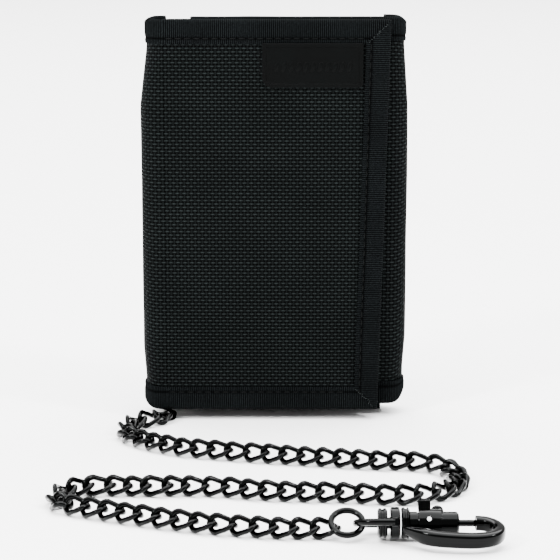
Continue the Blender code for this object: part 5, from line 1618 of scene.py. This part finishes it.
@dataclass
class CoinPocket:
    """Zipped pocket on the back: woven bag, zip tapes, coil rows and stitching."""

    at: Layout

    def build(self) -> None:
        """Make the pocket and its zip."""
        low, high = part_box("coin_pocket_panel")
        bag = panel("coin_pocket_bag", low.x, lambda z: high.x, low.z, high.z, high.y - 0.0002, 0.0009, 0.0007,
                    spacing=0.0022, facing_back=True, seed=31.0)
        dress(bag, NYLON, Slot.NYLON, "root", ["coin_pocket_panel"])
        for name in ("lower", "upper"):
            tape_low, tape_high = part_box(f"zip_tape_{name}")
            tape = panel(f"zip_cloth_{name}", tape_low.x, lambda z, x=tape_high.x: x, tape_low.z, tape_high.z,
                         tape_high.y, 0.0004, 0.00002, spacing=0.002, facing_back=True, seed=33.0)
            dress(tape, LINING, Slot.LINING, "root", [f"zip_tape_{name}"])
            self.coil(name)
        y = high.y + 0.00002
        inset = 0.0014
        tape_low, tape_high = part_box("zip_tape_upper")
        lines = [((low.x + inset, y, low.z + inset), (high.x - inset, y, low.z + inset)),
                 ((low.x + inset, y, low.z + inset), (low.x + inset, y, high.z - inset)),
                 ((high.x - inset, y, low.z + inset), (high.x - inset, y, high.z - inset)),
                 ((low.x + inset, y, high.z - inset), (high.x - inset, y, high.z - inset)),
                 ((low.x + inset, tape_high.y + 0.00002, tape_high.z - inset),
                  (high.x - inset, tape_high.y + 0.00002, tape_high.z - inset))]
        stitches("coin_pocket_stitching", lines, (0, 1, 0), "root")

    @staticmethod
    def coil(name: str) -> None:
        """One row of the zip: a flattened helix of monofilament, swept by the screw modifier."""
        low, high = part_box(f"zip_teeth_{name}")
        turns = 46
        radius = (high.z - low.z) / 2 - 0.00005
        bpy.ops.mesh.primitive_circle_add(vertices=6, radius=0.00022, location=(radius - 0.00022, 0, 0),
                                          rotation=(math.pi / 2, 0, 0))
        row = added(f"zip_coil_{name}")
        bpy.ops.object.transform_apply(location=True, rotation=True, scale=True)
        modify(row, "SCREW", axis="Z", angle=2 * math.pi, screw_offset=(high.x - low.x) / turns, iterations=turns,
               steps=10, render_steps=10, merge_threshold=1e-6, use_normal_calculate=True)
        pick(row, "EDGE", lambda edge: edge.is_boundary)
        bpy.ops.mesh.edge_face_add()
        bpy.ops.object.mode_set(mode="OBJECT")
        flat = (high.y - low.y) / 2 / radius
        row.data.transform(Matrix.Translation((low.x, (low.y + high.y) / 2, (low.z + high.z) / 2))
                           @ Matrix.Diagonal((1.0, flat, 1.0, 1.0)) @ Matrix.Rotation(math.pi / 2, 4, "Y"))
        dress(tidy(row, 80.0, merge=1e-7), COIL, Slot.COIL, "root", [f"zip_teeth_{name}"])


def dress_carried_over() -> None:
    """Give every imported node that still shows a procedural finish."""
    slots = {row["node"]: row.get("material_slot") for row in frame["record"].get("subparts", [])}
    for name, obj in frame["nodes"].items():
        finish = CARRIED_OVER.get(Slot(slots.get(name, Slot.METAL.value)), BLACK_NICKEL)
        for held in obj.material_slots:
            held.material = finish.material()


def main() -> None:
    """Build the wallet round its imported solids, piece by piece."""
    logging.basicConfig(level=logging.INFO, format="%(name)s %(message)s")
    Studio().build()
    chain, line = Chain().build()
    clip = Clip().build()
    tuple(line[0])
    [tuple(point) for point in line]
    layout = Layout()
    BackPanel(layout).build()
    CoinPocket(layout).build()
    InnerPanel(layout).build()
    Flap(layout).build()
    Folds(layout).build()
    dress_carried_over()


if __name__ == "__main__":
    main()
